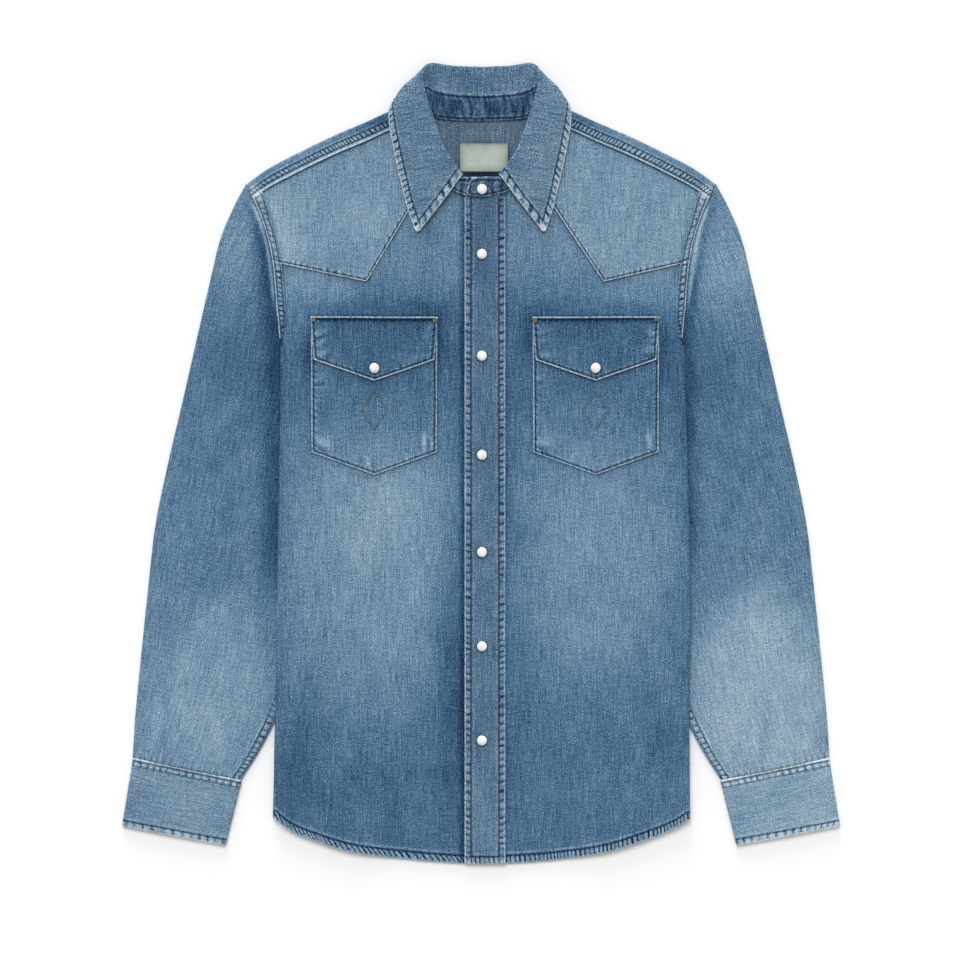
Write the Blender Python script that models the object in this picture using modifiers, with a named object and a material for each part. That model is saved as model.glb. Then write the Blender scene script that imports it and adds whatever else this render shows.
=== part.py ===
"""A denim western shirt laid flat on its back, built from the pieces that a maker would cut.

The tables are in millimetres and the meshes in metres. +X is the wearer's left, +Y points to the
collar and +Z up from the surface that the shirt lies on. A piece's side is -1 on the wearer's
right and +1 on the left, and "out" is a distance from the middle towards that side. Each piece of
cloth is an open surface, thickened by Solidify. Its heights are those of the middle of the wall.
"""

import math

import bmesh
import bpy
import mathutils

MM = 0.001
SIDES = {"right": -1, "left": 1}

# Cloth
DENIM = 1.2  # one thickness of the cloth
DOUBLE = 1.6  # two thicknesses pressed together, as in the collar and cuffs
ON_FLOOR = DENIM / 2  # the middle of a wall that rests on the floor
LAYER = 1.6  # from the middle of one thickness to the next
ON_PANEL = 1.8  # the same for a piece sewn on a panel
SEAM = 0.3  # half of the gap between two pieces that meet edge to edge

# Body
CENTRE_FRONT = 4.0  # the line that the pockets, yokes and placket are laid out from
UNDERARM_Y = 118.0  # the sides are turned under below this height
YOKE_SEAM_Y = 205.0  # across the back
SIDE_SEAM_OUT = 137.0  # where the turned-under front meets the turned-under back
SIDE_SEAM_Y = (-332.0, 106.0)  # from the hem to the underarm
SIDE_FOOT_Y = -362.0  # about where the hem reaches the side
FOLD_RADIUS = 2.4  # of the turned-under front, to the middle of its wall
INNER_FOLD_RADIUS = 0.8  # of the back inside it
FOLD_STEPS = 4
SIDE_RISE = 2 * LAYER + 0.4  # what the two turned-under layers lift the back by
SLEEVE_RISE = 3.7  # what the sleeve below the side lifts the body by
SLEEVE_RISE_RUN = 50.0  # the cloth climbs on the sleeve over this distance
SLEEVE_RISE_INSET = 12.0  # and is up this far before the sleeve's edge
RISE_FROM, RISE_TO = 75.0, 135.0  # how far out the cloth climbs on the turned-under layers
RISE_TOP_Y = 190.0  # the climb fades out between the underarm and here

# The turned-under edge of the body: height, then how far out it is on each side
BODY_EDGE = (
    {"y": -352, "right": 207.5, "left": 208.5},
    {"y": -235, "right": 205.0, "left": 207.8},
    {"y": -140, "right": 203.6, "left": 209.2},
    {"y": -48, "right": 202.0, "left": 207.5},
    {"y": 40, "right": 200.5, "left": 205.0},
    {"y": 118, "right": 200.0, "left": 203.0},
)

# The shirt-tail hem, from one side to the other
HEM = (
    {"x": -208, "y": -350},
    {"x": -190, "y": -365},
    {"x": -166, "y": -375},
    {"x": -131, "y": -386},
    {"x": -83, "y": -393},
    {"x": -19, "y": -398},
    {"x": 28, "y": -398},
    {"x": 76, "y": -394.5},
    {"x": 119, "y": -388},
    {"x": 151, "y": -379},
    {"x": 191, "y": -363.5},
    {"x": 209, "y": -352},
)

# The armhole seam, from the underarm to the shoulder
ARMHOLE = (
    {"y": 118, "out": 200.0},
    {"y": 140, "out": 202.0},
    {"y": 157, "out": 204.0},
    {"y": 182, "out": 206.0},
    {"y": 202, "out": 208.0},
    {"y": 225, "out": 212.5},
    {"y": 245, "out": 219.0},
    {"y": 266, "out": 228.0},
    {"y": 280, "out": 234.0},
)

# The top of the shoulder, where the back yoke folds to the front
SHOULDER = (
    {"out": 64, "y": 362},
    {"out": 91, "y": 353},
    {"out": 114, "y": 342.5},
    {"out": 149, "y": 327.5},
    {"out": 190, "y": 307.5},
    {"out": 214, "y": 294.5},
    {"out": 234, "y": 280},
)
SHOULDER_NECK_OUT = 64.0  # where the fold ends at the neck
SHOULDER_SEAM_TIP_Y = 270.0  # where the shoulder seam meets the armhole
BACK_YOKE_TIP_Y = 278.0  # the same point before the yoke folds over
FRONT_TIP_Y = 268.0
FRONT_YOKE_TIP_Y = 266.0
SHOULDER_FOLD_RADIUS = 1.7
SHOULDER_SEAM_DROP = 13.0  # from the fold to the seam with the front
SHOULDER_BAND_DROPS = (7.0, 19.0)
SHOULDER_BAND_OUTS = (86.0, 226.0)
BEHIND_BAND = 1.5  # the gap that the band covers

NECK_SEAM_OUT = 70.0  # where the front's neckline meets the shoulder seam

# The front neckline, from the centre to the shoulder
NECKLINE = (
    {"along": 0.0, "out": 16, "y": 271},
    {"along": 0.35, "out": 37, "y": 282},
    {"along": 0.7, "out": 58, "y": 305},
    {"along": 1.0, "out": 70, "y": 336},
)
# The back neckline, under the collar stand
BACK_NECKLINE = (
    {"out": 0, "y": 349},
    {"out": 40, "y": 351},
    {"out": 64, "y": 358},
)

# Columns and rows of the body's cloth, as shares of its width and of its height to the underarm
BODY_COLUMNS = (0.0, 0.2, 0.36, 0.44, 0.51, 0.58, 0.65, 0.72, 0.79, 0.86, 0.93, 1.0)
NECK_COLUMN = BODY_COLUMNS.index(0.36)  # the column that runs up to the shoulder's neck end
BODY_ROWS = (0.0, 0.05, 0.09, 0.13, 0.17, 0.21, 0.26, 0.33, 0.42, 0.52, 0.64, 0.76, 0.88, 1.0)
ARMHOLE_ROWS_Y = (132.0, 146.0, 160.0, 174.0, 190.0, 205.0)
TURNED_COLUMNS = 6

# Front yokes: the seam runs from the armhole to a point and up to the neck
YOKE_ARMHOLE_Y = 202.5
YOKE_POINT = {"out": 118.5, "y": 183.0}
YOKE_NECK = {"out": 49.0, "y": 293.0}
YOKE_POINT_SHARE = 0.43  # how far along the yoke's lower edge its point is

# Seam bands
BAND_WIDTH = 8.5
BAND_THICK = 1.0
BAND_SLANT = 0.3  # how far the inner edge lies below the outer one, as a share of the width
ARMHOLE_BAND_Y = (126.0, 261.0)
BAND_STEP_Y = (176.0, 194.0)  # it climbs from the front onto the yoke here

# Placket and snaps
PLACKET_WIDTH = 40.0
PLACKET_TOP_Y = 267.0
PLACKET_HEM_DROP = 1.0
FRONT_LAP = 14.0  # how far the right front runs under the placket beyond the centre front
SNAP_X = 1.0
SNAP_HEIGHTS = (210.0, 108.5, 9.5, -87.5, -181.5, -275.5)
STAND_SNAP_Y = 274.5
SNAP_PROFILE = ((5.8, 0.0), (5.8, 0.9), (4.9, 1.5), (2.9, 2.5))
SNAP_TOP = 2.9
SNAP_STEPS = 12

# Pockets, from the middle of each
POCKET_OUT = 110.5
POCKET_HALF = 62.5
POCKET_TOP_Y = 140.0
POCKET_CORNER_Y = 12.5
POCKET_POINT_Y = -10.0
FLAP_HALF = 63.0
FLAP_FOOT_HALF = 59.5
FLAP_TOP_Y = 147.0
FLAP_CORNER_Y = 104.5
FLAP_POINT_Y = 83.8
FLAP_SNAP_Y = 96.0

# The sleeve laid flat, from the armhole to the cuff: its outer edge and its edge by the body.
# "bend" is how much of the armhole's curve is left in that section.
SLEEVE = (
    {"outer": (234.5, 279.5), "inner": (150, 113), "bend": 1.0},
    {"outer": (247, 256), "inner": (152, 92), "bend": 0.86},
    {"outer": (260, 225), "inner": (155, 62), "bend": 0.62},
    {"outer": (270, 184), "inner": (159, 20), "bend": 0.36},
    {"outer": (282, 132), "inner": (164, -34), "bend": 0.14},
    {"outer": (297, 66), "inner": (171, -92), "bend": 0.0},
    {"outer": (312, 2), "inner": (179, -142), "bend": 0.0},
    {"outer": (325, -62), "inner": (187, -187), "bend": 0.0},
    {"outer": (333, -132), "inner": (196, -225), "bend": 0.0},
    {"outer": (340, -200), "inner": (207, -257), "bend": 0.0},
    {"outer": (345, -252), "inner": (223, -288), "bend": 0.0},
    {"outer": (347.5, -292.5), "inner": (240, -314.5), "bend": 0.0},
)
SLEEVE_TOP = 2.4  # its upper wall where the body presses on it
SLEEVE_CROWN = 3.2  # how much it rises between the body and its outer edge
SLEEVE_ARMHOLE_RISE = 0.8
ARMHOLE_RISE_Y = (126.0, 166.0)
CROWN_LOST = 0.7  # the share of the crown that the armhole's bend takes away
SLEEVE_SHARES = (0.1, 0.24, 0.4, 0.56, 0.7, 0.83)
UNDERARM_CURVE = ((199, 121), (180, 115), (150, 113))

# Cuffs: the corners beside the sleeve and at the wrist
CUFF = {"top_outer": (348.5, -293.5), "top_inner": (239, -315.7)}
CUFF_FOOT = {"outer": (359.5, -361), "inner": (255, -380)}
CUFF_TOP = 3.4
CUFF_CROWN = 0.8
CUFF_SHARES = (0.15, 0.38, 0.62, 0.85)
CUFF_ROWS = (0.0, 0.33, 0.67, 1.0)

# Half of the collar, from the middle of the back to its front edge. "neck" is the stand's lower
# edge, "seam" where the leaf joins it, "roll" the tip of the rolled rim, "bow" halfway over and
# "edge" the hem. "away" is the compass direction away from the neck, and "lean" how far the roll
# has turned over: 0 with its tip away from the neck, 90 with it up and 180 with it to the neck.
COLLAR = (
    {"neck": (0, 343.5, 2.8), "seam": (0, 369.5, 3.6), "roll": (0, 396.5, 2.7),
     "bow": (0, 388, 1.0), "edge": (0, 369, 0.8), "turns": (90, 0)},
    {"neck": (24, 344.2, 2.8), "seam": (26, 371, 3.9), "roll": (28, 397.5, 3.3),
     "bow": (30, 389, 1.1), "edge": (33, 368, 0.8), "turns": (88, 8)},
    {"neck": (42, 346, 3.4), "seam": (46, 374, 6.5), "roll": (50, 399.4, 7.5),
     "bow": (56, 391, 3.5), "edge": (61, 366.5, 0.8), "turns": (75, 40)},
    {"neck": (54, 350, 5.0), "seam": (57, 380, 10.5), "roll": (58.5, 390, 13.8),
     "bow": (68, 384, 8.5), "edge": (78, 366, 1.6), "turns": (30, 80)},
    {"neck": (62, 349, 6.4), "seam": (60, 372, 12.3), "roll": (57.5, 377.5, 14.7),
     "bow": (78, 373, 12.5), "edge": (90.5, 356, 7.2), "turns": (-5, 130)},
    {"neck": (67, 337, 6.4), "seam": (56.5, 355, 11.2), "roll": (51.8, 358, 13.4),
     "bow": (75, 352, 13.5), "edge": (91, 338, 8.2), "turns": (-14, 172)},
    {"neck": (64, 315, 6.2), "seam": (49.5, 331, 10.2), "roll": (44.8, 337, 12.2),
     "bow": (68, 326, 12.2), "edge": (86.5, 312, 7.4), "turns": (-25, 180)},
    {"neck": (53, 297, 6.2), "seam": (42, 311, 9.2), "roll": (37.8, 318, 11.1),
     "bow": (60, 301, 10.6), "edge": (80.5, 285, 6.6), "turns": (-36, 180)},
    {"neck": (38, 282, 6.2), "seam": (32, 297, 8.0), "roll": (28.6, 302, 9.9),
     "bow": (50, 279, 9.4), "edge": (73, 255, 6.2), "turns": (-46, 180)},
    {"neck": (24, 272, 6.2), "seam": (22, 287, 7.1), "roll": (18.8, 289, 8.9),
     "bow": (39, 262, 8.2), "edge": (64, 230.5, 5.9), "turns": (-53, 180)},
)
ROLL_RADIUS = 1.5  # to the middle of the wall
ROLL_STEPS = 4
LEAF_HALFWAY = 2  # sections made from the roll to the bow, and from there to the edge
COLLAR_STEPS = 3  # sections made for each row of the table
STAND_HEIGHTS = (0.0, 0.34, 0.67, 0.98)
STAND_TURN = 4.5  # the station where the collar turns from the back to the front
STAND_CLEARANCE = 0.3  # how much lower the stand is there, as a share of its height
FRONT_CLEARANCE = 0.03  # and how much from there to the front
# The stand's ends, which overlap under the top snap. The left one lies on top.
STAND_END = {
    "right": (
        {"x": -16, "foot": 269, "top": 286.5, "z": 4.9},
        {"x": 4, "foot": 267.5, "top": 286.5, "z": 4.8},
        {"x": 19, "foot": 268.5, "top": 285, "z": 4.6},
    ),
    "left": (
        {"x": 4, "foot": 267.5, "top": 286.5, "z": 7.0},
        {"x": -9, "foot": 268, "top": 286, "z": 7.0},
        {"x": -14, "foot": 271, "top": 282, "z": 7.0},
    ),
}

LABEL = {"x": 3.0, "y": 306.5, "width": 48.0, "height": 28.0, "thick": 1.0, "z": 2.2}

# Colours, as linear red, green and blue
INDIGO = (0.105, 0.19, 0.28)
PALE_INDIGO = (0.19, 0.3, 0.39)
DARK_INDIGO = (0.06, 0.115, 0.18)
LABEL_GREEN = (0.4, 0.45, 0.41)
PEARL = (0.82, 0.82, 0.8)


# ---------------------------------------------------------------- curves and heights


def ease(share):
    """From 0 to 1 with soft ends."""
    held = min(max(share, 0.0), 1.0)
    return held * held * (3 - 2 * held)


def flow(keys, values, at):
    """The value at a key, on a smooth curve through the table's values."""
    last = len(keys) - 1
    at = min(max(at, keys[0]), keys[-1])
    i = max(k for k in range(last) if keys[k] <= at)

    def slope(k):
        low, high = max(k - 1, 0), min(k + 1, last)
        return (values[high] - values[low]) / (keys[high] - keys[low])

    span = keys[i + 1] - keys[i]
    t = (at - keys[i]) / span
    start = (2 * t**3 - 3 * t**2 + 1) * values[i] + (t**3 - 2 * t**2 + t) * span * slope(i)
    end = (3 * t**2 - 2 * t**3) * values[i + 1] + (t**3 - t**2) * span * slope(i + 1)
    return start + end


def read(table, key, column, at):
    """A column of a table, at a value of its key column."""
    return flow([row[key] for row in table], [row[column] for row in table], at)


def mix(a, b, share):
    return tuple(p + (q - p) * share for p, q in zip(a, b))


def body_edge(side, y):
    name = "left" if side > 0 else "right"
    return read(BODY_EDGE, "y", name, y)


def armhole_out(y):
    return read(ARMHOLE, "y", "out", y)


def shoulder_y(out):
    return read(SHOULDER, "out", "y", out)


def cloth_out(side, y):
    """How far out the flat part of the body reaches: to its fold, or above that to the armhole."""
    if y > UNDERARM_Y:
        return armhole_out(y) - SEAM
    return body_edge(side, y) - FOLD_RADIUS - DENIM / 2


def sleeve_inner_out(y):
    """How far out the sleeve's edge lies under the body."""
    rows = [row["inner"] for row in reversed(SLEEVE)]
    return flow([point[1] for point in rows], [point[0] for point in rows], y)


def fade_above_underarm(y):
    return ease((RISE_TOP_Y - y) / (RISE_TOP_Y - UNDERARM_Y))


def over_sleeve(out, y):
    """How much the sleeve lifts the cloth above it."""
    full = sleeve_inner_out(y) - SLEEVE_RISE_INSET
    return SLEEVE_RISE * ease(1 + (out - full) / SLEEVE_RISE_RUN) * fade_above_underarm(y)


def over_turned(out, y):
    """How much the two turned-under layers lift the cloth above them."""
    return SIDE_RISE * ease((out - RISE_FROM) / (RISE_TO - RISE_FROM)) * fade_above_underarm(y)


def back_z(x, y):
    return ON_FLOOR + over_sleeve(abs(x), y) + over_turned(abs(x), y)


def front_z(x, y):
    return back_z(x, y) + LAYER


def on_front_z(x, y):
    return front_z(x, y) + ON_PANEL


# ---------------------------------------------------------------- surfaces to solids


def material(name, colour, roughness):
    made = bpy.data.materials.new(name)
    made.use_nodes = True
    shader = made.node_tree.nodes["Principled BSDF"]
    shader.inputs["Base Color"].default_value = (*colour, 1)
    shader.inputs["Roughness"].default_value = roughness
    shader.inputs["Metallic"].default_value = 0.0
    return made


def add_object(name, mesh, made_material):
    made = bpy.data.objects.new(name, mesh)
    mesh.materials.append(made_material)
    shirt.objects.link(made)
    return made


def cloth(name, patches, thick, made_material, ring=False, even_wall=True):
    """One piece of cloth from patches of points in rows and columns, thickened both ways.

    Patches that share an edge are welded there. In a ring, each row's ends meet.
    """
    shape = bmesh.new()
    for patch in patches:
        rows = [[shape.verts.new([MM * value for value in point]) for point in row] for row in patch]
        columns = len(rows[0])
        for low, high in zip(rows, rows[1:]):
            for i in range(columns if ring else columns - 1):
                after = (i + 1) % columns
                shape.faces.new((low[i], low[after], high[after], high[i]))
    bmesh.ops.remove_doubles(shape, verts=shape.verts, dist=0.01 * MM)
    bmesh.ops.recalc_face_normals(shape, faces=shape.faces)
    mesh = bpy.data.meshes.new(name)
    shape.to_mesh(mesh)
    shape.free()
    mesh.shade_smooth()
    made = add_object(name, mesh, made_material)
    wall = made.modifiers.new("wall", "SOLIDIFY")
    wall.thickness = thick * MM
    wall.offset = 0
    wall.use_even_offset = even_wall
    return made


def between(low_edge, high_edge, shares, height):
    """A patch between two edges of the same number of points, raised to a height."""
    rows = [[mix(a, b, share) for a, b in zip(low_edge, high_edge)] for share in shares]
    return [[(x, y, height(x, y)) for x, y in row] for row in rows]


def even(count):
    return [i / (count - 1) for i in range(count)]


# ---------------------------------------------------------------- body


def hem_y(x):
    return read(HEM, "x", "y", x)


def height_at(foot_y, share):
    """The height at a share of the way from a foot to the underarm."""
    return foot_y + (UNDERARM_Y - foot_y) * share


def body_rows(side, from_x):
    """The rows of (x, y) of one half of the body, from the hem to the back's yoke seam.

    All but the first column are the same for the back and the front, so that the two stay apart.
    """
    rows = []
    for share in BODY_ROWS:
        reach = side * cloth_out(side, height_at(SIDE_FOOT_Y, share))
        xs = [from_x] + [reach * column for column in BODY_COLUMNS[1:]]
        rows.append([(x, height_at(hem_y(x), share)) for x in xs])
    for y in ARMHOLE_ROWS_Y:
        xs = [from_x] + [side * cloth_out(side, y) * column for column in BODY_COLUMNS[1:]]
        rows.append([(x, y) for x in xs])
    return rows


def turned_under(side, radius, top_z, floor_gap):
    """The patch that turns under at the side: round the fold and in to the side seam."""
    patch = []
    for share in BODY_ROWS:
        out = cloth_out(side, height_at(SIDE_FOOT_Y, share))
        fold_y = height_at(hem_y(side * out), share)
        axis_z = top_z(out, fold_y) - radius
        row = []
        for step in range(FOLD_STEPS + 1):
            turn = math.pi * step / FOLD_STEPS
            fold_out = out + radius * math.sin(turn)
            row.append((side * fold_out, fold_y, axis_z + radius * math.cos(turn)))
        seam_y = SIDE_SEAM_Y[0] + (SIDE_SEAM_Y[1] - SIDE_SEAM_Y[0]) * share
        for step in range(1, TURNED_COLUMNS + 1):
            part = step / TURNED_COLUMNS
            x_out = out + (SIDE_SEAM_OUT - out) * part
            y = fold_y + (seam_y - fold_y) * part
            row.append((side * x_out, y, over_sleeve(x_out, y) + floor_gap))
        patch.append(row)
    return patch


def top_edge(side):
    """The front's top edge: the neckline, then the shoulder seam."""
    points = []
    tip_out = armhole_out(FRONT_TIP_Y) - SEAM
    for i, column in enumerate(BODY_COLUMNS):
        if i <= NECK_COLUMN:
            share = i / NECK_COLUMN
            out = read(NECKLINE, "along", "out", share)
            points.append((side * out, read(NECKLINE, "along", "y", share)))
        else:
            out = NECK_SEAM_OUT + (tip_out - NECK_SEAM_OUT) * beyond_neck(column)
            points.append((side * out, shoulder_y(out) - SHOULDER_SEAM_DROP - BEHIND_BAND))
    return points


def beyond_neck(column):
    """How far a column is from the neck to the armhole, from 0 to 1."""
    return (column - BODY_COLUMNS[NECK_COLUMN]) / (1 - BODY_COLUMNS[NECK_COLUMN])


def follow_armhole(side, patch, height):
    """Bends the last column of a patch onto the armhole and shares the bend with its neighbours."""
    bent = []
    for row in patch:
        reach = abs(row[-1][0])
        shift = armhole_out(row[-1][1]) - SEAM - reach
        new_row = []
        for x, y, _ in row:
            x += side * shift * (abs(x) / reach) ** 3
            new_row.append((x, y, height(x, y)))
        bent.append(new_row)
    return bent


def make_fronts():
    for name, side in SIDES.items():
        from_x = CENTRE_FRONT + FRONT_LAP + SEAM * side
        rows = body_rows(side, from_x)
        lower = [[(x, y, front_z(x, y)) for x, y in row] for row in rows]
        upper = between(rows[-1], top_edge(side), even(6), front_z)
        upper = follow_armhole(side, upper, front_z)
        turned = turned_under(side, FOLD_RADIUS, front_z, ON_FLOOR)
        cloth("front_" + name, (lower, upper, turned), DENIM, indigo)


def make_back():
    halves = []
    for side in SIDES.values():
        rows = body_rows(side, 0.0)
        halves.append([[(x, y, back_z(x, y)) for x, y in row] for row in rows])
        halves.append(turned_under(side, INNER_FOLD_RADIUS, back_z, ON_FLOOR + LAYER))
    cloth("back", halves, DENIM, indigo)


def make_back_yoke():
    """From the seam across the back, up to the neck, and over the shoulders to the front."""
    neck_out = SHOULDER_NECK_OUT
    tip_out = armhole_out(BACK_YOKE_TIP_Y) - 2 * SEAM
    patches = []
    for side in SIDES.values():
        low, high = [], []
        for i, column in enumerate(BODY_COLUMNS):
            low.append((side * column * (armhole_out(YOKE_SEAM_Y) - SEAM), YOKE_SEAM_Y + 2 * SEAM))
            if i < NECK_COLUMN:
                out = neck_out * column / BODY_COLUMNS[NECK_COLUMN]
                high.append((side * out, read(BACK_NECKLINE, "out", "y", out)))
            else:
                out = neck_out + (tip_out - neck_out) * beyond_neck(column)
                high.append((side * out, shoulder_y(out) - SHOULDER_FOLD_RADIUS - DENIM / 2))
        flat = between(low, high, even(5), lambda x, y: ON_FLOOR)
        patches.append(follow_armhole_flat(side, flat))
        patches.append(shoulder_wrap(flat[-1][NECK_COLUMN:]))
    cloth("back_yoke", patches, DENIM, pale_indigo)


def follow_armhole_flat(side, patch):
    """As follow_armhole, for cloth on the floor, and with its last row left in place."""
    bent = follow_armhole(side, patch[:-1], lambda x, y: ON_FLOOR)
    return bent + [patch[-1]]


def shoulder_wrap(edge):
    """The strip that folds over the shoulder, from the fold's back edge to the front seam."""
    strip = [list(edge)]
    radius = SHOULDER_FOLD_RADIUS
    for step in range(1, FOLD_STEPS + 1):
        turn = math.pi * step / FOLD_STEPS
        raised = ON_FLOOR + radius - radius * math.cos(turn)
        strip.append([(x, y + radius * math.sin(turn), raised) for x, y, _ in edge])
    strip.append([seam_point(x, edge[-1][0], ON_FLOOR + 2 * radius) for x, _, _ in edge])
    return strip


def seam_point(x, tip_x, z):
    """The back yoke's point on the front shoulder seam, for a point of its fold."""
    share = (abs(x) - SHOULDER_NECK_OUT) / (abs(tip_x) - SHOULDER_NECK_OUT)
    tip_out = armhole_out(SHOULDER_SEAM_TIP_Y) - 3 * SEAM
    out = SHOULDER_NECK_OUT + share * (tip_out - SHOULDER_NECK_OUT)
    return math.copysign(out, x), shoulder_y(out) - SHOULDER_SEAM_DROP + SEAM, z


# ---------------------------------------------------------------- what lies on the fronts


def make_front_yokes():
    tip_out = armhole_out(FRONT_YOKE_TIP_Y) - SEAM
    for name, side in SIDES.items():
        armhole = (side * (armhole_out(YOKE_ARMHOLE_Y) - SEAM), YOKE_ARMHOLE_Y)
        point = (CENTRE_FRONT + side * YOKE_POINT["out"], YOKE_POINT["y"])
        neck = (side * YOKE_NECK["out"], YOKE_NECK["y"])
        low, high = [], []
        for share in (0.0, 0.14, 0.28, YOKE_POINT_SHARE, 0.62, 0.8, 1.0):
            if share <= YOKE_POINT_SHARE:
                low.append(mix(armhole, point, share / YOKE_POINT_SHARE))
            else:
                low.append(mix(point, neck, (share - YOKE_POINT_SHARE) / (1 - YOKE_POINT_SHARE)))
            out = tip_out + (NECK_SEAM_OUT - tip_out) * share
            high.append((side * out, shoulder_y(out) - SHOULDER_SEAM_DROP - BEHIND_BAND))
        patch = between(low[::-1], high[::-1], even(6), on_front_z)
        patch = follow_armhole(side, patch, on_front_z)
        cloth("front_yoke_" + name, (patch,), DENIM, pale_indigo)


def make_shoulder_bands():
    height = ON_FLOOR + 2 * SHOULDER_FOLD_RADIUS + LAYER
    neck_end, tip = SHOULDER_BAND_OUTS
    outs = [neck_end + (tip - neck_end) * share for share in even(8)]
    for name, side in SIDES.items():
        rows = []
        for drop in SHOULDER_BAND_DROPS:
            rows.append([(side * out, shoulder_y(out) - drop, height) for out in outs])
        cloth("shoulder_band_" + name, (rows,), BAND_THICK, pale_indigo)


def make_armhole_bands():
    """The felled allowance along the armhole, over the front and then over its yoke."""
    low_y, high_y = ARMHOLE_BAND_Y
    step_from, step_to = BAND_STEP_Y
    for name, side in SIDES.items():
        rows = []
        for share in even(10):
            y = low_y + (high_y - low_y) * share
            out = armhole_out(y) - SEAM
            step = ON_PANEL * ease((y - step_from) / (step_to - step_from))
            row = []
            for inset in (0.0, BAND_WIDTH):
                x = side * (out - inset)
                row.append((x, y - BAND_SLANT * inset, on_front_z(x, y) + step))
            rows.append(row)
        cloth("armhole_band_" + name, (rows,), BAND_THICK, pale_indigo)


def make_placket():
    edges = (CENTRE_FRONT - PLACKET_WIDTH / 2, CENTRE_FRONT + PLACKET_WIDTH / 2)
    low = [(x, hem_y(x) - PLACKET_HEM_DROP) for x in edges]
    high = [(x, PLACKET_TOP_Y) for x in edges]
    cloth("placket", (between(low, high, even(9), on_front_z),), DENIM, indigo)


def pointed_patch(side, halves, heights, height):
    """A patch with a level top and a pointed foot. halves and heights are of its top and foot."""
    middle = CENTRE_FRONT + side * POCKET_OUT
    top_half, foot_half = halves
    top_y, corner_y, point_y = heights
    low, high = [], []
    for share in [2 * part - 1 for part in even(11)]:
        low.append((middle + share * foot_half, point_y + (corner_y - point_y) * abs(share)))
        high.append((middle + share * top_half, top_y))
    return between(low, high, even(11), height)


def make_pockets():
    pocket_heights = (POCKET_TOP_Y, POCKET_CORNER_Y, POCKET_POINT_Y)
    flap_heights = (FLAP_TOP_Y, FLAP_CORNER_Y, FLAP_POINT_Y)
    for name, side in SIDES.items():
        pocket = pointed_patch(side, (POCKET_HALF, POCKET_HALF - 0.5), pocket_heights, on_front_z)
        cloth("pocket_" + name, (pocket,), DENIM, indigo)
        flap = pointed_patch(side, (FLAP_HALF, FLAP_FOOT_HALF), flap_heights, on_pocket_z)
        cloth("pocket_flap_" + name, (flap,), DENIM, dark_indigo)


def on_pocket_z(x, y):
    return on_front_z(x, y) + ON_PANEL


# ---------------------------------------------------------------- sleeves and cuffs


def armhole_curve():
    """The sleeve's upper edge, from the shoulder to the underarm, as (out, y)."""
    seen = [(row["out"] + SEAM, row["y"]) for row in reversed(ARMHOLE) if row["y"] > UNDERARM_Y]
    return seen + [*UNDERARM_CURVE]


def along(points, share):
    """A point at a share of the way along a line of points, by its length."""
    steps = [math.dist(a, b) for a, b in zip(points, points[1:])]
    left = share * sum(steps)
    for a, b, step in zip(points, points[1:], steps):
        if left <= step:
            return mix(a, b, left / step)
        left -= step
    return points[-1]


def sleeve_point(row, share):
    """A point across one section of the sleeve, as (out, y)."""
    straight = mix(row["outer"], row["inner"], share)
    first = mix(SLEEVE[0]["outer"], SLEEVE[0]["inner"], share)
    curved = along(armhole_curve(), share)
    return tuple(s + row["bend"] * (c - f) for s, c, f in zip(straight, curved, first))


def sleeve_top_z(row, out, y):
    """The upper wall's height: pressed under the body, crowned beside it."""
    start = armhole_out(y) if y > UNDERARM_Y else body_edge(1, y) + FOLD_RADIUS + DENIM / 2
    start = max(start, row["inner"][0])
    share = (out - start) / (row["outer"][0] - start)
    crown = SLEEVE_CROWN * math.sin(math.pi * min(max(share, 0), 1))
    rise_from, rise_to = ARMHOLE_RISE_Y
    rise = SLEEVE_ARMHOLE_RISE * ease((y - rise_from) / (rise_to - rise_from))
    return SLEEVE_TOP + crown * (1 - CROWN_LOST * row["bend"]) + rise * row["bend"]


def flat_ring(point_at, top_z_at, low_z, shares, width):
    """A flattened tube's section: rounded at both edges, with an upper and a lower wall."""
    edge_z = top_z_at(0.0)
    radius = (edge_z - low_z) / 2
    inset = radius / width
    slant = inset * (1 - math.sqrt(0.5))
    rise = radius * math.sqrt(0.5)
    ring = [(0.0, low_z + radius), (slant, low_z + radius + rise), (inset, edge_z)]
    ring += [(share, top_z_at(share)) for share in shares]
    ring += [(1 - inset, edge_z), (1 - slant, low_z + radius + rise), (1.0, low_z + radius)]
    ring += [(1 - slant, low_z + radius - rise), (1 - inset, low_z)]
    ring += [(share, low_z) for share in reversed(shares)]
    ring += [(inset, low_z), (slant, low_z + radius - rise)]
    return [(*point_at(share), z) for share, z in ring]


def make_sleeves():
    for name, side in SIDES.items():
        rings = []
        for row in SLEEVE:
            def point_at(share, row=row):
                out, y = sleeve_point(row, share)
                return side * out, y

            def top_z_at(share, row=row):
                if share in (0.0, 1.0):
                    return SLEEVE_TOP
                return sleeve_top_z(row, *sleeve_point(row, share))

            width = math.dist(row["outer"], row["inner"])
            rings.append(flat_ring(point_at, top_z_at, ON_FLOOR, SLEEVE_SHARES, width))
        cloth("sleeve_" + name, (rings,), DENIM, indigo, ring=True)


def make_cuffs():
    for name, side in SIDES.items():
        rings = []
        for share_down in CUFF_ROWS:
            outer = mix(CUFF["top_outer"], CUFF_FOOT["outer"], share_down)
            inner = mix(CUFF["top_inner"], CUFF_FOOT["inner"], share_down)

            def point_at(share, outer=outer, inner=inner):
                out, y = mix(outer, inner, share)
                return side * out, y

            def top_z_at(share):
                return CUFF_TOP + CUFF_CROWN * math.sin(math.pi * share)

            width = math.dist(outer, inner)
            rings.append(flat_ring(point_at, top_z_at, DOUBLE / 2, CUFF_SHARES, width))
        cloth("cuff_" + name, (rings,), DOUBLE, pale_indigo, ring=True)


# ---------------------------------------------------------------- collar


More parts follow.
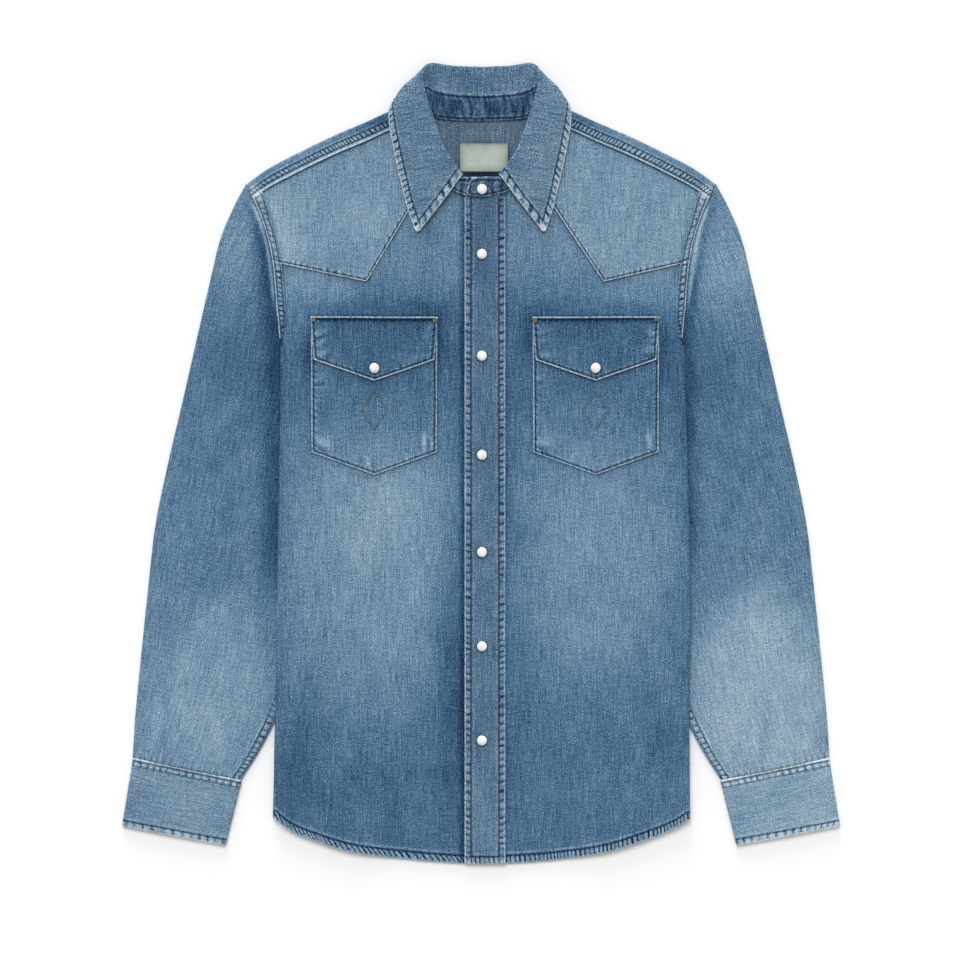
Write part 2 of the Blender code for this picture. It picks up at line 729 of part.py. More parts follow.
def collar_point(column, station):
    """A column of the collar at a station, from 0 at the middle of the back to the front edge."""
    keys = list(range(len(COLLAR)))
    values = zip(*(row[column] for row in COLLAR))
    return tuple(flow(keys, line, station) for line in values)


def collar_stations():
    count = (len(COLLAR) - 1) * COLLAR_STEPS
    return [i / COLLAR_STEPS for i in range(count + 1)]


def mirrored(rows_at):
    """Rows for the whole collar, from the right front round the back to the left front."""
    stations = collar_stations()
    right = [rows_at(station, -1) for station in reversed(stations[1:])]
    return right + [rows_at(station, 1) for station in stations]


def leaf_row(station, side):
    """Across the leaf: from its seam, round the roll, and over to its hem."""
    seam, roll, bow, edge = (collar_point(name, station) for name in ("seam", "roll", "bow", "edge"))
    path = [seam, *roll_arc(roll, station), bow, edge]
    keys = [0.0]
    for a, b in zip(path, path[1:]):
        keys.append(keys[-1] + math.dist(a, b))
    samples = keys[:-2]
    for low, high in zip(keys[-3:], keys[-2:]):
        samples += [low + (high - low) * (step + 1) / LEAF_HALFWAY for step in range(LEAF_HALFWAY)]
    row = []
    for at in samples:
        x, y, z = (flow(keys, [point[axis] for point in path], at) for axis in range(3))
        row.append((side * x, y, z))
    return row


def roll_arc(tip, station):
    """Half a turn about the roll's middle, with the tip halfway along it."""
    away, lean = (math.radians(value) for value in collar_point("turns", station))
    points = []
    for step in range(ROLL_STEPS + 1):
        turn = lean + math.pi / 2 - math.pi * step / ROLL_STEPS
        level = ROLL_RADIUS * (math.cos(turn) - math.cos(lean))
        raised = ROLL_RADIUS * (math.sin(turn) - math.sin(lean))
        x, y, z = tip
        points.append((x + level * math.cos(away), y + level * math.sin(away), z + raised))
    return points


def stand_row(station, side):
    neck = collar_point("neck", station)
    seam = collar_point("seam", station)
    clear = 1 - STAND_CLEARANCE * ease(1 - abs(station - STAND_TURN) / 2)
    clear -= FRONT_CLEARANCE * ease((station - STAND_TURN) / 2 + 1)
    points = [mix(neck, seam, share * clear) for share in STAND_HEIGHTS]
    return [(side * x, y, z) for x, y, z in points]


def stand_end_rows(name):
    rows = []
    for end in STAND_END[name]:
        foot, top = end["foot"], end["top"]
        rows.append([(end["x"], foot + (top - foot) * share, end["z"]) for share in STAND_HEIGHTS])
    return rows


def make_collar():
    cloth("collar_leaf", (mirrored(leaf_row),), DOUBLE, pale_indigo)
    band = stand_end_rows("right")[::-1] + mirrored(stand_row) + stand_end_rows("left")
    cloth("collar_stand", (band,), DOUBLE, dark_indigo, even_wall=False)


def make_label():
    half_width, half_height = LABEL["width"] / 2, LABEL["height"] / 2
    rows = []
    for y in (LABEL["y"] - half_height, LABEL["y"] + half_height):
        rows.append([(LABEL["x"] + side * half_width, y, LABEL["z"]) for side in (-1, 1)])
    cloth("neck_label", (rows,), LABEL["thick"], label_green)


# ---------------------------------------------------------------- snaps


def make_snap(name, x, y, height, lift):
    """A pearl cap, turned from its profile and closed at the middle, seated square on the cloth."""
    shape = bmesh.new()
    points = [*SNAP_PROFILE, (0.0, SNAP_TOP)]
    foot = shape.verts.new((0, 0, 0))
    verts = [shape.verts.new((radius * MM, 0, height * MM)) for radius, height in points]
    chain = [foot, *verts]
    edges = [shape.edges.new(pair) for pair in zip(chain, chain[1:])]
    bmesh.ops.spin(
        shape, geom=chain + edges, cent=(0, 0, 0), axis=(0, 0, 1),
        angle=2 * math.pi, steps=SNAP_STEPS, use_merge=True,
    )
    bmesh.ops.remove_doubles(shape, verts=shape.verts, dist=0.01 * MM)
    bmesh.ops.recalc_face_normals(shape, faces=shape.faces)
    mesh = bpy.data.meshes.new(name)
    shape.to_mesh(mesh)
    shape.free()
    mesh.shade_smooth()
    made = add_object(name, mesh, pearl)
    reach = SNAP_PROFILE[0][0]
    slope_x = (height(x + reach, y) - height(x - reach, y)) / (2 * reach)
    slope_y = (height(x, y + reach) - height(x, y - reach)) / (2 * reach)
    normal = mathutils.Vector((-slope_x, -slope_y, 1)).normalized()
    seat = mathutils.Vector((x, y, height(x, y))) + normal * lift
    made.rotation_euler = mathutils.Vector((0, 0, 1)).rotation_difference(normal).to_euler()
    made.location = seat * MM


def make_snaps():
    on_cloth = DENIM / 2 + 2 * SEAM
    for number, y in enumerate(SNAP_HEIGHTS, start=1):
        make_snap(f"snap_placket_{number}", SNAP_X, y, on_front_z, on_cloth)
    make_snap("snap_stand", SNAP_X, STAND_SNAP_Y, lambda x, y: STAND_END["left"][0]["z"], DOUBLE / 2 + SEAM)
    for name, side in SIDES.items():
        make_snap("snap_flap_" + name, CENTRE_FRONT + side * POCKET_OUT, FLAP_SNAP_Y, on_pocket_z, on_cloth)


# ---------------------------------------------------------------- the shirt

for old in list(bpy.data.objects):
    bpy.data.objects.remove(old)
shirt = bpy.data.collections.new("denim_shirt")
bpy.context.scene.collection.children.link(shirt)

indigo = material("indigo_denim", INDIGO, 0.9)
pale_indigo = material("pale_indigo_denim", PALE_INDIGO, 0.9)
dark_indigo = material("dark_indigo_denim", DARK_INDIGO, 0.9)
label_green = material("label_cloth", LABEL_GREEN, 0.8)
pearl = material("pearl", PEARL, 0.2)

make_back()
make_back_yoke()
make_fronts()
make_front_yokes()
make_shoulder_bands()
make_armhole_bands()
make_placket()
make_pockets()
make_sleeves()
make_cuffs()
make_collar()
make_label()
make_snaps()
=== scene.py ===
"""The looks of the denim western shirt, laid flat, around its CAD frame.

Tables and heights are in millimetres, as in the CAD source, and meshes in metres. Each piece of
cloth is a fine grid over the same curves as its CAD solid, puckered along its seams and creased,
then closed into a thin shell. Its vertices carry what the denim's material reads: "tone" (how
washed it is, as display brightness), "pucker" (worn ripples along a seam), "edge", "groove" and
"row" (distances from an edge, from the stitches beside it and from another row), "phase" and
"ladder" (where a seam's short folds lie and how strong they are), "inside" (1 on the wrong side
of the cloth) and "grain" (place along the weave).
"""

import bpy
import numpy as np
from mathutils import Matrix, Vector


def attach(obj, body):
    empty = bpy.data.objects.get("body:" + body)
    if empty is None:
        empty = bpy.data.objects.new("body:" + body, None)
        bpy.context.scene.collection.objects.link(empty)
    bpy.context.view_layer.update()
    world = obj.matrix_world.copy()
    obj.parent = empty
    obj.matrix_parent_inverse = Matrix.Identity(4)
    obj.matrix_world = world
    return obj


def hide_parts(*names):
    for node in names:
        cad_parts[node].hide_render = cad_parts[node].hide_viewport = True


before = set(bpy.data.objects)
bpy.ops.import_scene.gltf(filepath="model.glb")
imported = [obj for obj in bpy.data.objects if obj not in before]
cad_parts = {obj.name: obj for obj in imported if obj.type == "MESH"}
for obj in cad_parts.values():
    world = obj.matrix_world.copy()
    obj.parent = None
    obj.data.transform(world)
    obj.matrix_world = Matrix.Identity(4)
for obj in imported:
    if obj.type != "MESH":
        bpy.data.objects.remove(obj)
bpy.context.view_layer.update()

MM = 0.001
SIDES = {"right": -1, "left": 1}

# ---- the CAD's sizes

DENIM = 1.2
DOUBLE = 1.6
ON_FLOOR = DENIM / 2
LAYER = 1.6
ON_PANEL = 1.8
SEAM = 0.3

CENTRE_FRONT = 4.0
UNDERARM_Y = 118.0
# Above it the body steps out onto the armhole over this run
ARMHOLE_RUN = 14.0
YOKE_SEAM_Y = 205.0
SIDE_SEAM_OUT = 137.0
SIDE_SEAM_Y = (-332.0, 106.0)
SIDE_FOOT_Y = -362.0
FOLD_RADIUS = 2.4
INNER_FOLD_RADIUS = 0.8
SIDE_RISE = 2 * LAYER + 0.4
SLEEVE_RISE = 3.7
SLEEVE_RISE_RUN = 50.0
SLEEVE_RISE_INSET = 12.0
RISE_OUT = (75.0, 135.0)
RISE_TOP_Y = 190.0

# The turned-under edge of the body: height, right, left
BODY_EDGE = np.array((
    (-352, 207.5, 208.5), (-235, 205.0, 207.8), (-140, 203.6, 209.2), (-48, 202.0, 207.5),
    (40, 200.5, 205.0), (118, 200.0, 203.0),
))
# The hem: x, y
HEM = np.array((
    (-208, -350), (-190, -365), (-166, -375), (-131, -386), (-83, -393), (-19, -398), (28, -398),
    (76, -394.5), (119, -388), (151, -379), (191, -363.5), (209, -352),
))
# The armhole seam: y, out
ARMHOLE = np.array((
    (118, 200.0), (140, 202.0), (157, 204.0), (182, 206.0), (202, 208.0), (225, 212.5),
    (245, 219.0), (266, 228.0), (280, 234.0),
))
# The top of the shoulder: out, y
SHOULDER = np.array((
    (64, 362), (91, 353), (114, 342.5), (149, 327.5), (190, 307.5), (214, 294.5), (234, 280),
))
SHOULDER_NECK_OUT = 64.0
SHOULDER_SEAM_TIP_Y = 270.0
BACK_YOKE_TIP_Y = 278.0
FRONT_TIP_Y = 268.0
FRONT_YOKE_TIP_Y = 266.0
SHOULDER_FOLD_RADIUS = 1.7
SHOULDER_SEAM_DROP = 13.0
SHOULDER_BAND_DROPS = (7.0, 19.0)
SHOULDER_BAND_OUTS = (86.0, 226.0)
BEHIND_BAND = 1.5
NECK_SEAM_OUT = 70.0
NECK_COLUMN = 0.36
# The front neckline: along, out, y. The back one: out, y.
NECKLINE = np.array(((0.0, 16, 271), (0.35, 37, 282), (0.7, 58, 305), (1.0, 70, 336)))
BACK_NECKLINE = np.array(((0, 349), (40, 351), (64, 358)))

YOKE_ARMHOLE_Y = 202.5
YOKE_POINT = (118.5, 183.0)
YOKE_NECK = (49.0, 293.0)
YOKE_POINT_SHARE = 0.43

BAND_WIDTH = 8.5
BAND_THICK = 1.0
BAND_SLANT = 0.3
ARMHOLE_BAND_Y = (126.0, 264.0)
BAND_STEP_Y = (176.0, 194.0)
# The gap at the band's top end, and how much of the band reaches up to it
BAND_GAP, BAND_STRETCH = 0.7, 30.0

PLACKET_WIDTH = 40.0
PLACKET_TOP_Y = 267.0
PLACKET_HEM_DROP = 0.3
FRONT_LAP = 14.0
SNAP_X = 1.0
SNAP_HEIGHTS = (210.0, 108.5, 9.5, -87.5, -181.5, -275.5)
STAND_SNAP_Y = 274.5

POCKET_OUT = 110.5
# The pockets and flaps: half width at the top and the corners, heights of top, corners and point
POCKET = (62.5, 62.0, 140.0, 12.5, -10.0)
FLAP = (63.0, 59.5, 147.0, 104.5, 83.8)
FLAP_SNAP_Y = 96.0

# The sleeve's sections: outer x, y, inner x, y, bend
SLEEVE = np.array((
    (234.5, 279.5, 150, 113, 1.0), (247, 256, 152, 92, 0.86), (260, 225, 155, 62, 0.62),
    (270, 184, 159, 20, 0.36), (282, 132, 164, -34, 0.14), (297, 66, 171, -92, 0.0),
    (312, 2, 179, -142, 0.0), (325, -62, 187, -187, 0.0), (333, -132, 196, -225, 0.0),
    (340, -200, 207, -257, 0.0), (345, -252, 223, -288, 0.0), (347.5, -292.5, 240, -314.5, 0.0),
))
SLEEVE_TOP = 2.4
SLEEVE_CROWN = 3.2
SLEEVE_ARMHOLE_RISE = 0.8
ARMHOLE_RISE_Y = (126.0, 166.0)
CROWN_LOST = 0.7
UNDERARM_CURVE = ((199, 121), (180, 115), (150, 113))

# The cuff's corners: outer x, y, inner x, y, at the sleeve and at the wrist
CUFF = np.array(((348.5, -293.5, 239, -315.7), (359.5, -361, 255, -380)))
CUFF_TOP = 3.4
CUFF_CROWN = 0.8

# Half of the collar, from the middle of the back to its front edge
COLLAR_NECK = np.array((
    (0, 343.5, 2.8), (24, 344.2, 2.8), (42, 346, 3.4), (54, 350, 5.0), (62, 349, 6.4),
    (67, 337, 6.4), (64, 315, 6.2), (53, 297, 6.2), (38, 282, 6.2), (24, 272, 6.2),
))
COLLAR_SEAM = np.array((
    (0, 369.5, 3.6), (26, 371, 3.9), (46, 374, 6.5), (57, 380, 10.5), (60, 372, 12.3),
    (56.5, 355, 11.2), (49.5, 331, 10.2), (42, 311, 9.2), (32, 297, 8.0), (22, 287, 7.1),
))
COLLAR_ROLL = np.array((
    (0, 396.5, 2.7), (28, 397.5, 3.3), (50, 399.4, 7.5), (58.5, 390, 13.8), (57.5, 377.5, 14.7),
    (51.8, 358, 13.4), (44.8, 337, 12.2), (37.8, 318, 11.1), (28.6, 302, 9.9), (18.8, 289, 8.9),
))
COLLAR_BOW = np.array((
    (0, 388, 1.0), (30, 389, 1.1), (56, 391, 3.5), (68, 384, 8.5), (78, 373, 12.5),
    (75, 352, 13.5), (68, 326, 12.2), (60, 301, 10.6), (50, 279, 9.4), (39, 262, 8.2),
))
COLLAR_EDGE = np.array((
    (0, 369, 0.8), (33, 368, 0.8), (61, 366.5, 0.8), (78, 366, 1.6), (90.5, 356, 7.2),
    (91, 338, 8.2), (86.5, 312, 7.4), (80.5, 285, 6.6), (73, 255, 6.2), (64, 230.5, 5.9),
))
COLLAR_TURNS = np.array((
    (90, 0), (88, 8), (75, 40), (30, 80), (-5, 130), (-14, 172), (-25, 180), (-36, 180),
    (-46, 180), (-53, 180),
))
ROLL_RADIUS = 1.5
STAND_TURN = 4.5
STAND_CLEARANCE = 0.3
FRONT_CLEARANCE = 0.03
STAND_TOP_SHARE = 0.98
# The stand's overlapping ends: x, foot, top, z
STAND_END_RIGHT = ((-16, 269, 286.5, 4.9), (4, 267.5, 286.5, 4.8), (19, 268.5, 285, 4.6))
STAND_END_LEFT = ((4, 267.5, 286.5, 7.0), (-9, 268, 286, 7.0), (-14, 271, 282, 7.0))

LABEL = {"x": 3.0, "y": 306.5, "width": 48.0, "height": 28.0, "thick": 1.0, "z": 2.2}
LABEL_CORNER = 2.6

UP = (0.0, 0.0, 1.0)
# How far the collar's stitches are from its edge
COLLAR_ROW = 7.2
# The paper beneath the shirt: half its width, and its height in metres
FLOOR_HALF, FLOOR_Z = 14000, -0.0004
# How much the photo shows across, and where on the shirt its middle is, in metres
PHOTO_WIDTH, PHOTO_MIDDLE = 0.96, (-0.001, -0.0155)
WORLD_STRENGTH = 0.57

# ---- the wash, with some painted shade

# Soft patches of wash, and of painted shade where a table says so: x, y, half width and height, how
# much lighter, and how flat the middle is
BODY_TONE = 97.0
# On the fronts, the darker patches just outside the pockets and flaps, from y 88 to 157, and the
# dark strip at x -28 beside the placket's free edge are painted shade; the rest is wash
BODY_WASH_AND_SHADE = (
    (-108, -92, 95, 164, 33, 2), (-98, -50, 45, 50, 13), (-28, -205, 16, 130, -28),
    (114, -85, 84, 147, 29, 2), (26, -30, 12, 110, -8), (0, 235, 260, 60, 22, 2),
    (-178, 185, 52, 42, 27), (172, 187, 52, 40, 24), (-105, 152, 78, 17, -14, 2),
    (110, 150, 78, 15, -9, 2), (-30, 105, 14, 50, -10), (38, 105, 12, 50, -9),
    (-173, 112, 6, 28, -30), (-42, 122, 8, 26, -26), (46, 124, 6, 26, -22), (183, 119, 7, 28, -22),
    (-145, 155, 20, 8, -12), (-58, 157, 18, 8, -14), (66, 156, 18, 8, -12), (160, 155, 20, 8, -10),
    (-190, -310, 26, 70, -9), (-110, -320, 110, 80, -5), (-186, 88, 14, 48, -10),
    (192, 88, 14, 48, -13), (-53, 238, 12, 14, -12), (34, -285, 16, 60, -8),
    (-204, 55, 9, 175, -12, 2), (206, 70, 8, 150, -9, 2),
)
SLEEVE_TONE = 107.0
SLEEVE_WASH = {
    "right": (
        (238, 225, 40, 60, 19), (235, 105, 42, 65, -16), (260, -222, 58, 92, 25, 2),
        (300, -280, 90, 80, 10), (335, -150, 25, 150, 8), (325, -272, 40, 45, 9),
    ),
    "left": (
        (245, 198, 40, 60, 27), (228, 95, 42, 65, -15), (280, -238, 78, 112, 46, 3),
        (280, -110, 70, 45, 8),
    ),
}
YOKE_TONE = 131.0
YOKE_WASH = (
    (-118, 250, 40, 50, 4), (130, 255, 42, 45, 8), (-202, 232, 24, 42, 27), (195, 235, 28, 45, 5),
    (-62, 290, 26, 30, -10), (62, 290, 26, 30, -8),
)
BAND_TONE = 132.0
PLACKET_TONE = 108.0
PLACKET_WASH = (
    (4, 235, 40, 45, -9), (4, -345, 40, 60, 9),
)
# Places on the pockets and flaps are from the pocket's middle
POCKET_TONE = 99.0
POCKET_WASH = {
    "right": (
        (0, 5, 62, 38, 26), (-50, 22, 8, 10, 20), (50, 24, 7, 11, 18), (-52, 78, 8, 14, 10),
        (0, 84, 60, 14, -8),
    ),
    "left": (
        (0, 5, 62, 38, 19), (-50, 24, 9, 10, 18), (52, 26, 7, 10, 16), (-48, 80, 10, 12, 10),
        (0, 84, 60, 14, -8),
    ),
}
FLAP_TONE = 89.0
FLAP_WASH = {
    "right": (
        (0, 140, 75, 16, -9, 2), (-54, 122, 8, 12, 14), (-50, 109, 9, 5, 15), (55, 132, 6, 12, 14),
        (40, 106, 16, 6, 10),
    ),
    "left": (
        (0, 140, 75, 16, -9, 2), (-52, 126, 8, 12, 14), (-44, 110, 10, 6, 12), (54, 124, 7, 14, 15),
    ),
}
COLLAR_TONE = 118.0
# The patches at x ±52 are painted shade in the collar's inner corners by the stand
COLLAR_WASH_AND_SHADE = (
    (0, 388, 48, 20, -14, 2), (-52, 378, 8, 14, -20), (52, 378, 8, 14, -20), (72, 320, 40, 60, 8),
    (-62, 234, 8, 7, 12), (62, 234, 8, 7, 12),
)
STAND_TONE, LABEL_TONE = 82.0, 178.0
STAND_WASH = (
    (-44, 360, 12, 16, -12), (44, 360, 12, 16, -12), (-4, 276, 30, 16, 12),
)
CUFF_TONE = {"right": 131.0, "left": 146.0}
CUFF_WASH = {
    "right": (
        (340, -345, 18, 30, -8), (300, -340, 35, 22, 5),
    ),
    "left": (
        (345, -330, 20, 30, 5), (262, -350, 18, 25, -8),
    ),
}
BACK_TONE = 108.0
BACK_YOKE_TONE = 130.0
# Painted shadow in the neck below the label, and painted shade round the label's edge; the last
# patch darkens the cloth along the neckline
BACK_YOKE_WASH_AND_SHADE = (
    (2, 285, 34, 9, -85, 2), (3, 306, 27, 17, -46, 2), (0, 349, 60, 4, -18),
)
# The worn tip of the shoulder, where four seams meet; the two patches at y 344 are painted shade on
# the shoulder beside the collar's edge
TIP_WASH_AND_SHADE = (
    (-227, 272, 9, 8, 46, 2), (227, 272, 9, 8, 44, 2), (-98, 344, 30, 17, -42),
    (98, 344, 28, 16, -27),
)


# ---- curves and heights


def ease(share):
    held = np.clip(share, 0, 1)
    return held * held * (3 - 2 * held)


def climb(at, low, high):
    """From 0 at one place to 1 at another."""
    return ease((at - low) / (high - low))


def fall(at, start, run):
    """1 up to a place, and from there down to 0 over a run."""
    return 1 - ease((at - start) / run)


def bell(off, wide):
    """A soft bump across a strip, 1 at its middle."""
    return np.exp(-(off / wide) ** 2)


def mix(a, b, share):
    return a + (b - a) * share


def unit(vectors):
    return vectors / np.maximum(np.linalg.norm(vectors, axis=-1, keepdims=True), 1e-9)


def grid(x, y, z):
    return np.stack(np.broadcast_arrays(x, y, z), axis=-1)


def wash(table, base, x, y):
    """The cloth's brightness under soft patches of wash, and of painted shade where a table has
    them.
    """
    tone = np.full(np.broadcast(x, y).shape, float(base))
    for at_x, at_y, wide, tall, lighter, *flat in table:
        far = ((x - at_x) / wide) ** 2 + ((y - at_y) / tall) ** 2
        tone += lighter * np.exp(-(far ** (flat[0] if flat else 1)))
    return tone


def flow(keys, values, at):
    """The values at some keys, on a smooth curve through the table's values."""
    keys, values = np.asarray(keys, float), np.asarray(values, float)
    at = np.clip(np.asarray(at, float), keys[0], keys[-1])
    last = len(keys) - 1
    i = np.clip(np.searchsorted(keys, at, side="right") - 1, 0, last - 1)
    low = np.maximum(np.arange(last + 1) - 1, 0)
    high = np.minimum(np.arange(last + 1) + 1, last)
    run, span = keys[high] - keys[low], keys[i + 1] - keys[i]
    t = (at - keys[i]) / span
    if values.ndim > 1:
        run, span, t = run[:, None], span[..., None], t[..., None]
    slope = (values[high] - values[low]) / run
    start = (2 * t**3 - 3 * t**2 + 1) * values[i] + (t**3 - 2 * t**2 + t) * span * slope[i]
    return start + (3 * t**2 - 2 * t**3) * values[i + 1] + (t**3 - t**2) * span * slope[i + 1]


def follow(table, at, column=1):
    return flow(table[:, 0], table[:, column], at)


def body_edge(side, y):
    return follow(BODY_EDGE, y, 2 if side > 0 else 1)


def armhole_out(y):
    return follow(ARMHOLE, y)


def shoulder_y(out):
    return follow(SHOULDER, out)


def hem_y(x):
    return follow(HEM, x)


def fold_out(side, y):
    """Where the body's flat wall ends and its fold begins."""
    return body_edge(side, y) - FOLD_RADIUS - DENIM / 2


def cloth_out(side, y):
    return np.where(y > UNDERARM_Y, armhole_out(y) - SEAM, fold_out(side, y))


def fade_above_underarm(y):
    return climb(y, RISE_TOP_Y, UNDERARM_Y)


def over_sleeve(out, y):
    full = flow(SLEEVE[::-1, 3], SLEEVE[::-1, 2], y) - SLEEVE_RISE_INSET
    return SLEEVE_RISE * ease(1 + (out - full) / SLEEVE_RISE_RUN) * fade_above_underarm(y)


def back_z(x, y):
    out = np.abs(x)
    over_turned = SIDE_RISE * climb(out, *RISE_OUT) * fade_above_underarm(y)
    return ON_FLOOR + over_sleeve(out, y) + over_turned


def front_z(x, y):
    return back_z(x, y) + LAYER


def on_front_z(x, y):
    return front_z(x, y) + ON_PANEL


def on_pocket_z(x, y):
    return on_front_z(x, y) + ON_PANEL


# ---- uneven lines of numbers


def wave(at, pitch, seed):
    """An uneven wave of about that pitch, from -1 to 1."""
    rng = np.random.RandomState(seed)
    total = np.zeros(at.shape)
    for stretch, share in ((1.0, 0.62), (0.71, 0.3), (1.43, 0.25), (0.43, 0.16)):
        drift = 1.3 * np.sin(at / (pitch * 5.3) + rng.uniform(0, 6.3))
        total += share * np.sin(2 * np.pi * at / (pitch * stretch) + drift + rng.uniform(0, 6.3))
    return np.clip(total * (0.75 + 0.25 * np.sin(at / (pitch * 3.1) + rng.uniform(0, 6.3))), -1, 1)


def rungs_before(along, pitch, seed):
    """How many rungs of about that pitch lie before each place along a seam."""
    slow, slower, first = np.random.RandomState(seed).uniform(0, 6.3, 3)
    drift = 0.4 * np.sin(along / (pitch * 2.1) + slow)
    drift += 0.6 * np.sin(along / (pitch * 5.1) + slower)
    return along / pitch + drift + first


def spaced(length, fine, coarse, margins):
    """Shares of a length, close together near its two ends and further apart between."""
    at = [0.0]
    while at[-1] < length:
        near = min(max(at[-1] - margins[0], 0), max(length - margins[1] - at[-1], 0))
        at.append(at[-1] + mix(fine, coarse, min(near / 15, 1)))
    return np.array(at) / at[-1]


# ---- grids to shells


def lengths(points, axis=0):
    """How far along an axis of the grid, or along a line, each point is."""
    steps = np.linalg.norm(np.diff(points, axis=axis), axis=-1)
    first = np.zeros_like(np.take(steps, [0], axis=axis))
    return np.concatenate((first, np.cumsum(steps, axis=axis)), axis=axis)


def at_lengths(at, far, points):
    """The points that lie at some distances along a line."""
    return np.stack([np.interp(at, far, column) for column in points.T], axis=-1)


def edge_fields(points, border):
    """Each point's distance from a border of its grid, and how far along the border it is."""
    axis = 0 if border in ("low", "high") else 1
    across = lengths(points, axis)
    if border in ("high", "last"):
        across = np.take(across, [-1], axis=axis) - across
    line = {"low": points[:1], "high": points[-1:], "first": points[:, :1], "last": points[:, -1:]}
    return across, np.broadcast_to(lengths(line[border], 1 - axis), across.shape)


def grid_normals(points):
    """Unit normals of a grid of points, on the side that looks up."""
    normal = unit(np.cross(np.gradient(points, axis=1), np.gradient(points, axis=0)))
    return -normal if normal[..., 2].mean() < 0 else normal


# How far from an edge a point is, in effect, where there is none
FAR = 40.0
# What a patch starts from at each point
PLAIN = {
    "pucker": 0, "edge": FAR, "groove": FAR, "row": FAR, "phase": 0, "ladder": 0, "nearest": 1e3,
    "lift": 0,
}
READ = ("tone", "pucker", "edge", "groove", "row", "phase", "ladder")
# How high the folds across a seam stand
RUNG_LIFT = 0.12


class Patch:
    """A grid of points with what the material reads at each.

    Its table's places, of wash and of any painted shade, are from the line x = middle, towards the
    side.
    """

    def __init__(self, points, tone, table=(), seed=0, grain=None, side=1, middle=0.0):
        self.points = points
        self.tone = wash(table, tone, (self.x - middle) * side, self.y)
        for name, value in PLAIN.items():
            setattr(self, name, np.full(self.tone.shape, float(value)))
        grain = points[..., :2] if grain is None else grain
        self.grain = grain + np.array((seed * 531.0, seed * 173.0))

    x = property(lambda self: self.points[..., 0])
    y = property(lambda self: self.points[..., 1])

    def across(self, border):
        return edge_fields(self.points, border)[0]

    def seam(self, border, pitch, depth, reach, seed, slant, worn, inset=None, pale=0.0, rungs=0.0,
             bright=0.0, over=1.0, fold=True):
        """Puckers the cloth along a border, between it and its stitching and a little beyond.

        The ripples have a pitch, a depth, a reach inwards and a slant, and are as pale as "worn"
        says. The stitches lie at the inset: "pale" lightens the lip outside them, "bright" the
        very edge, and "rungs" lays short folds between the edge and the stitches, which fade out
        over a distance. Without a fold there is no worn edge.
        """
        across, along = edge_fields(self.points, border)
        self.tone += bright * fall(across, 0.9, 1.2)
        if inset is not None:
            self.groove = np.minimum(self.groove, across - inset)
            self.tone += pale * fall(across, inset - 1.5, 2)
        if rungs:
            self.rungs(across, along + slant * across, (0.6, inset), pitch, seed, rungs, over)
        shape = bell(np.maximum(across - reach * 0.55, 0), reach * 0.5)
        ripple = wave(along + slant * across, pitch, seed)
        ripple = np.sign(ripple) * np.abs(ripple) ** 0.6 * shape
        self.pucker += worn * ripple
        self.lift += depth * (0.5 + 0.5 * ripple) * shape
        if fold:
            self.edge = np.minimum(self.edge, across)

    def rungs(self, across, along, reach, pitch, seed, strength, over=1.0):
        """Lays short dark folds across a seam, like rungs, between two distances from its edge.

        They fade out over a further distance.
        """
        phase = rungs_before(along, pitch, seed)
        uneven = 0.8 + 0.22 * np.sin(along / (pitch * 0.53) + seed)
        uneven += 0.2 * np.sin(along / pitch + 2 * seed)
        held = ease(across - reach[0]) * fall(across, reach[1] - 1, over) * strength * uneven
        mine = across < self.nearest
        self.phase = np.where(mine, phase, self.phase)
        self.ladder = np.where(mine, held, self.ladder)
        self.lift += np.where(mine, RUNG_LIFT * held * (1 + np.sin(2 * np.pi * phase)), 0)
        self.nearest = np.minimum(across, self.nearest)

    def raised(self):
        """The points with the puckers' lift along the normal, except where the cloth faces down."""
        normal = grid_normals(self.points)
        held = np.clip(1 + 2 * normal[..., 2], 0, 1)
        return self.points + normal * (self.lift * held)[..., None]


def line_distance(x, y, line):
    """The distance from each place to a line through some points."""
    nearest = np.full(x.shape, 1e6)
    for (x0, y0), (x1, y1) in zip(line[:-1], line[1:]):
        run = np.array((x1 - x0, y1 - y0), float)
        share = np.clip(((x - x0) * run[0] + (y - y0) * run[1]) / (run @ run), 0, 1)
        nearest = np.minimum(nearest, np.hypot(x - x0 - share * run[0], y - y0 - share * run[1]))
    return nearest


def shade_beside(patch, line, dark, wide):
    """Darkens the cloth beside a line: painted shade at the edge of what lies on it, or darker
    cloth along a stitched figure.
    """
    patch.tone -= dark * bell(line_distance(patch.x, patch.y, line), wide)


def crease(patch, table, side=1, weight=1.0, middle=0.0):
    """Raises soft, bowed ridges, rubbed a little paler along their tops, with painted shade in a
    strip beside each on the side away from the light. A negative paleness paints a dark line with a
    paler strip beside it.
    """
    x, y = (patch.x - middle) * side, patch.y
    for x0, y0, x1, y1, bow, wide, high, rubbed in table:
        run_x, run_y = x1 - x0, y1 - y0
        length = np.hypot(run_x, run_y)
        along = ((x - x0) * run_x + (y - y0) * run_y) / length**2
        off = ((x - x0) * run_y - (y - y0) * run_x) / length - bow * 4 * along * (1 - along)
        fade = ease((along + 0.15) / 0.45) * ease((1.15 - along) / 0.45) * weight
        beneath = 1.7 * wide * np.sign(run_x + 0.01)
        patch.lift += high * bell(off, wide) * fade
        patch.tone += rubbed * (bell(off, wide) - 0.7 * bell(off - beneath, wide)) * fade


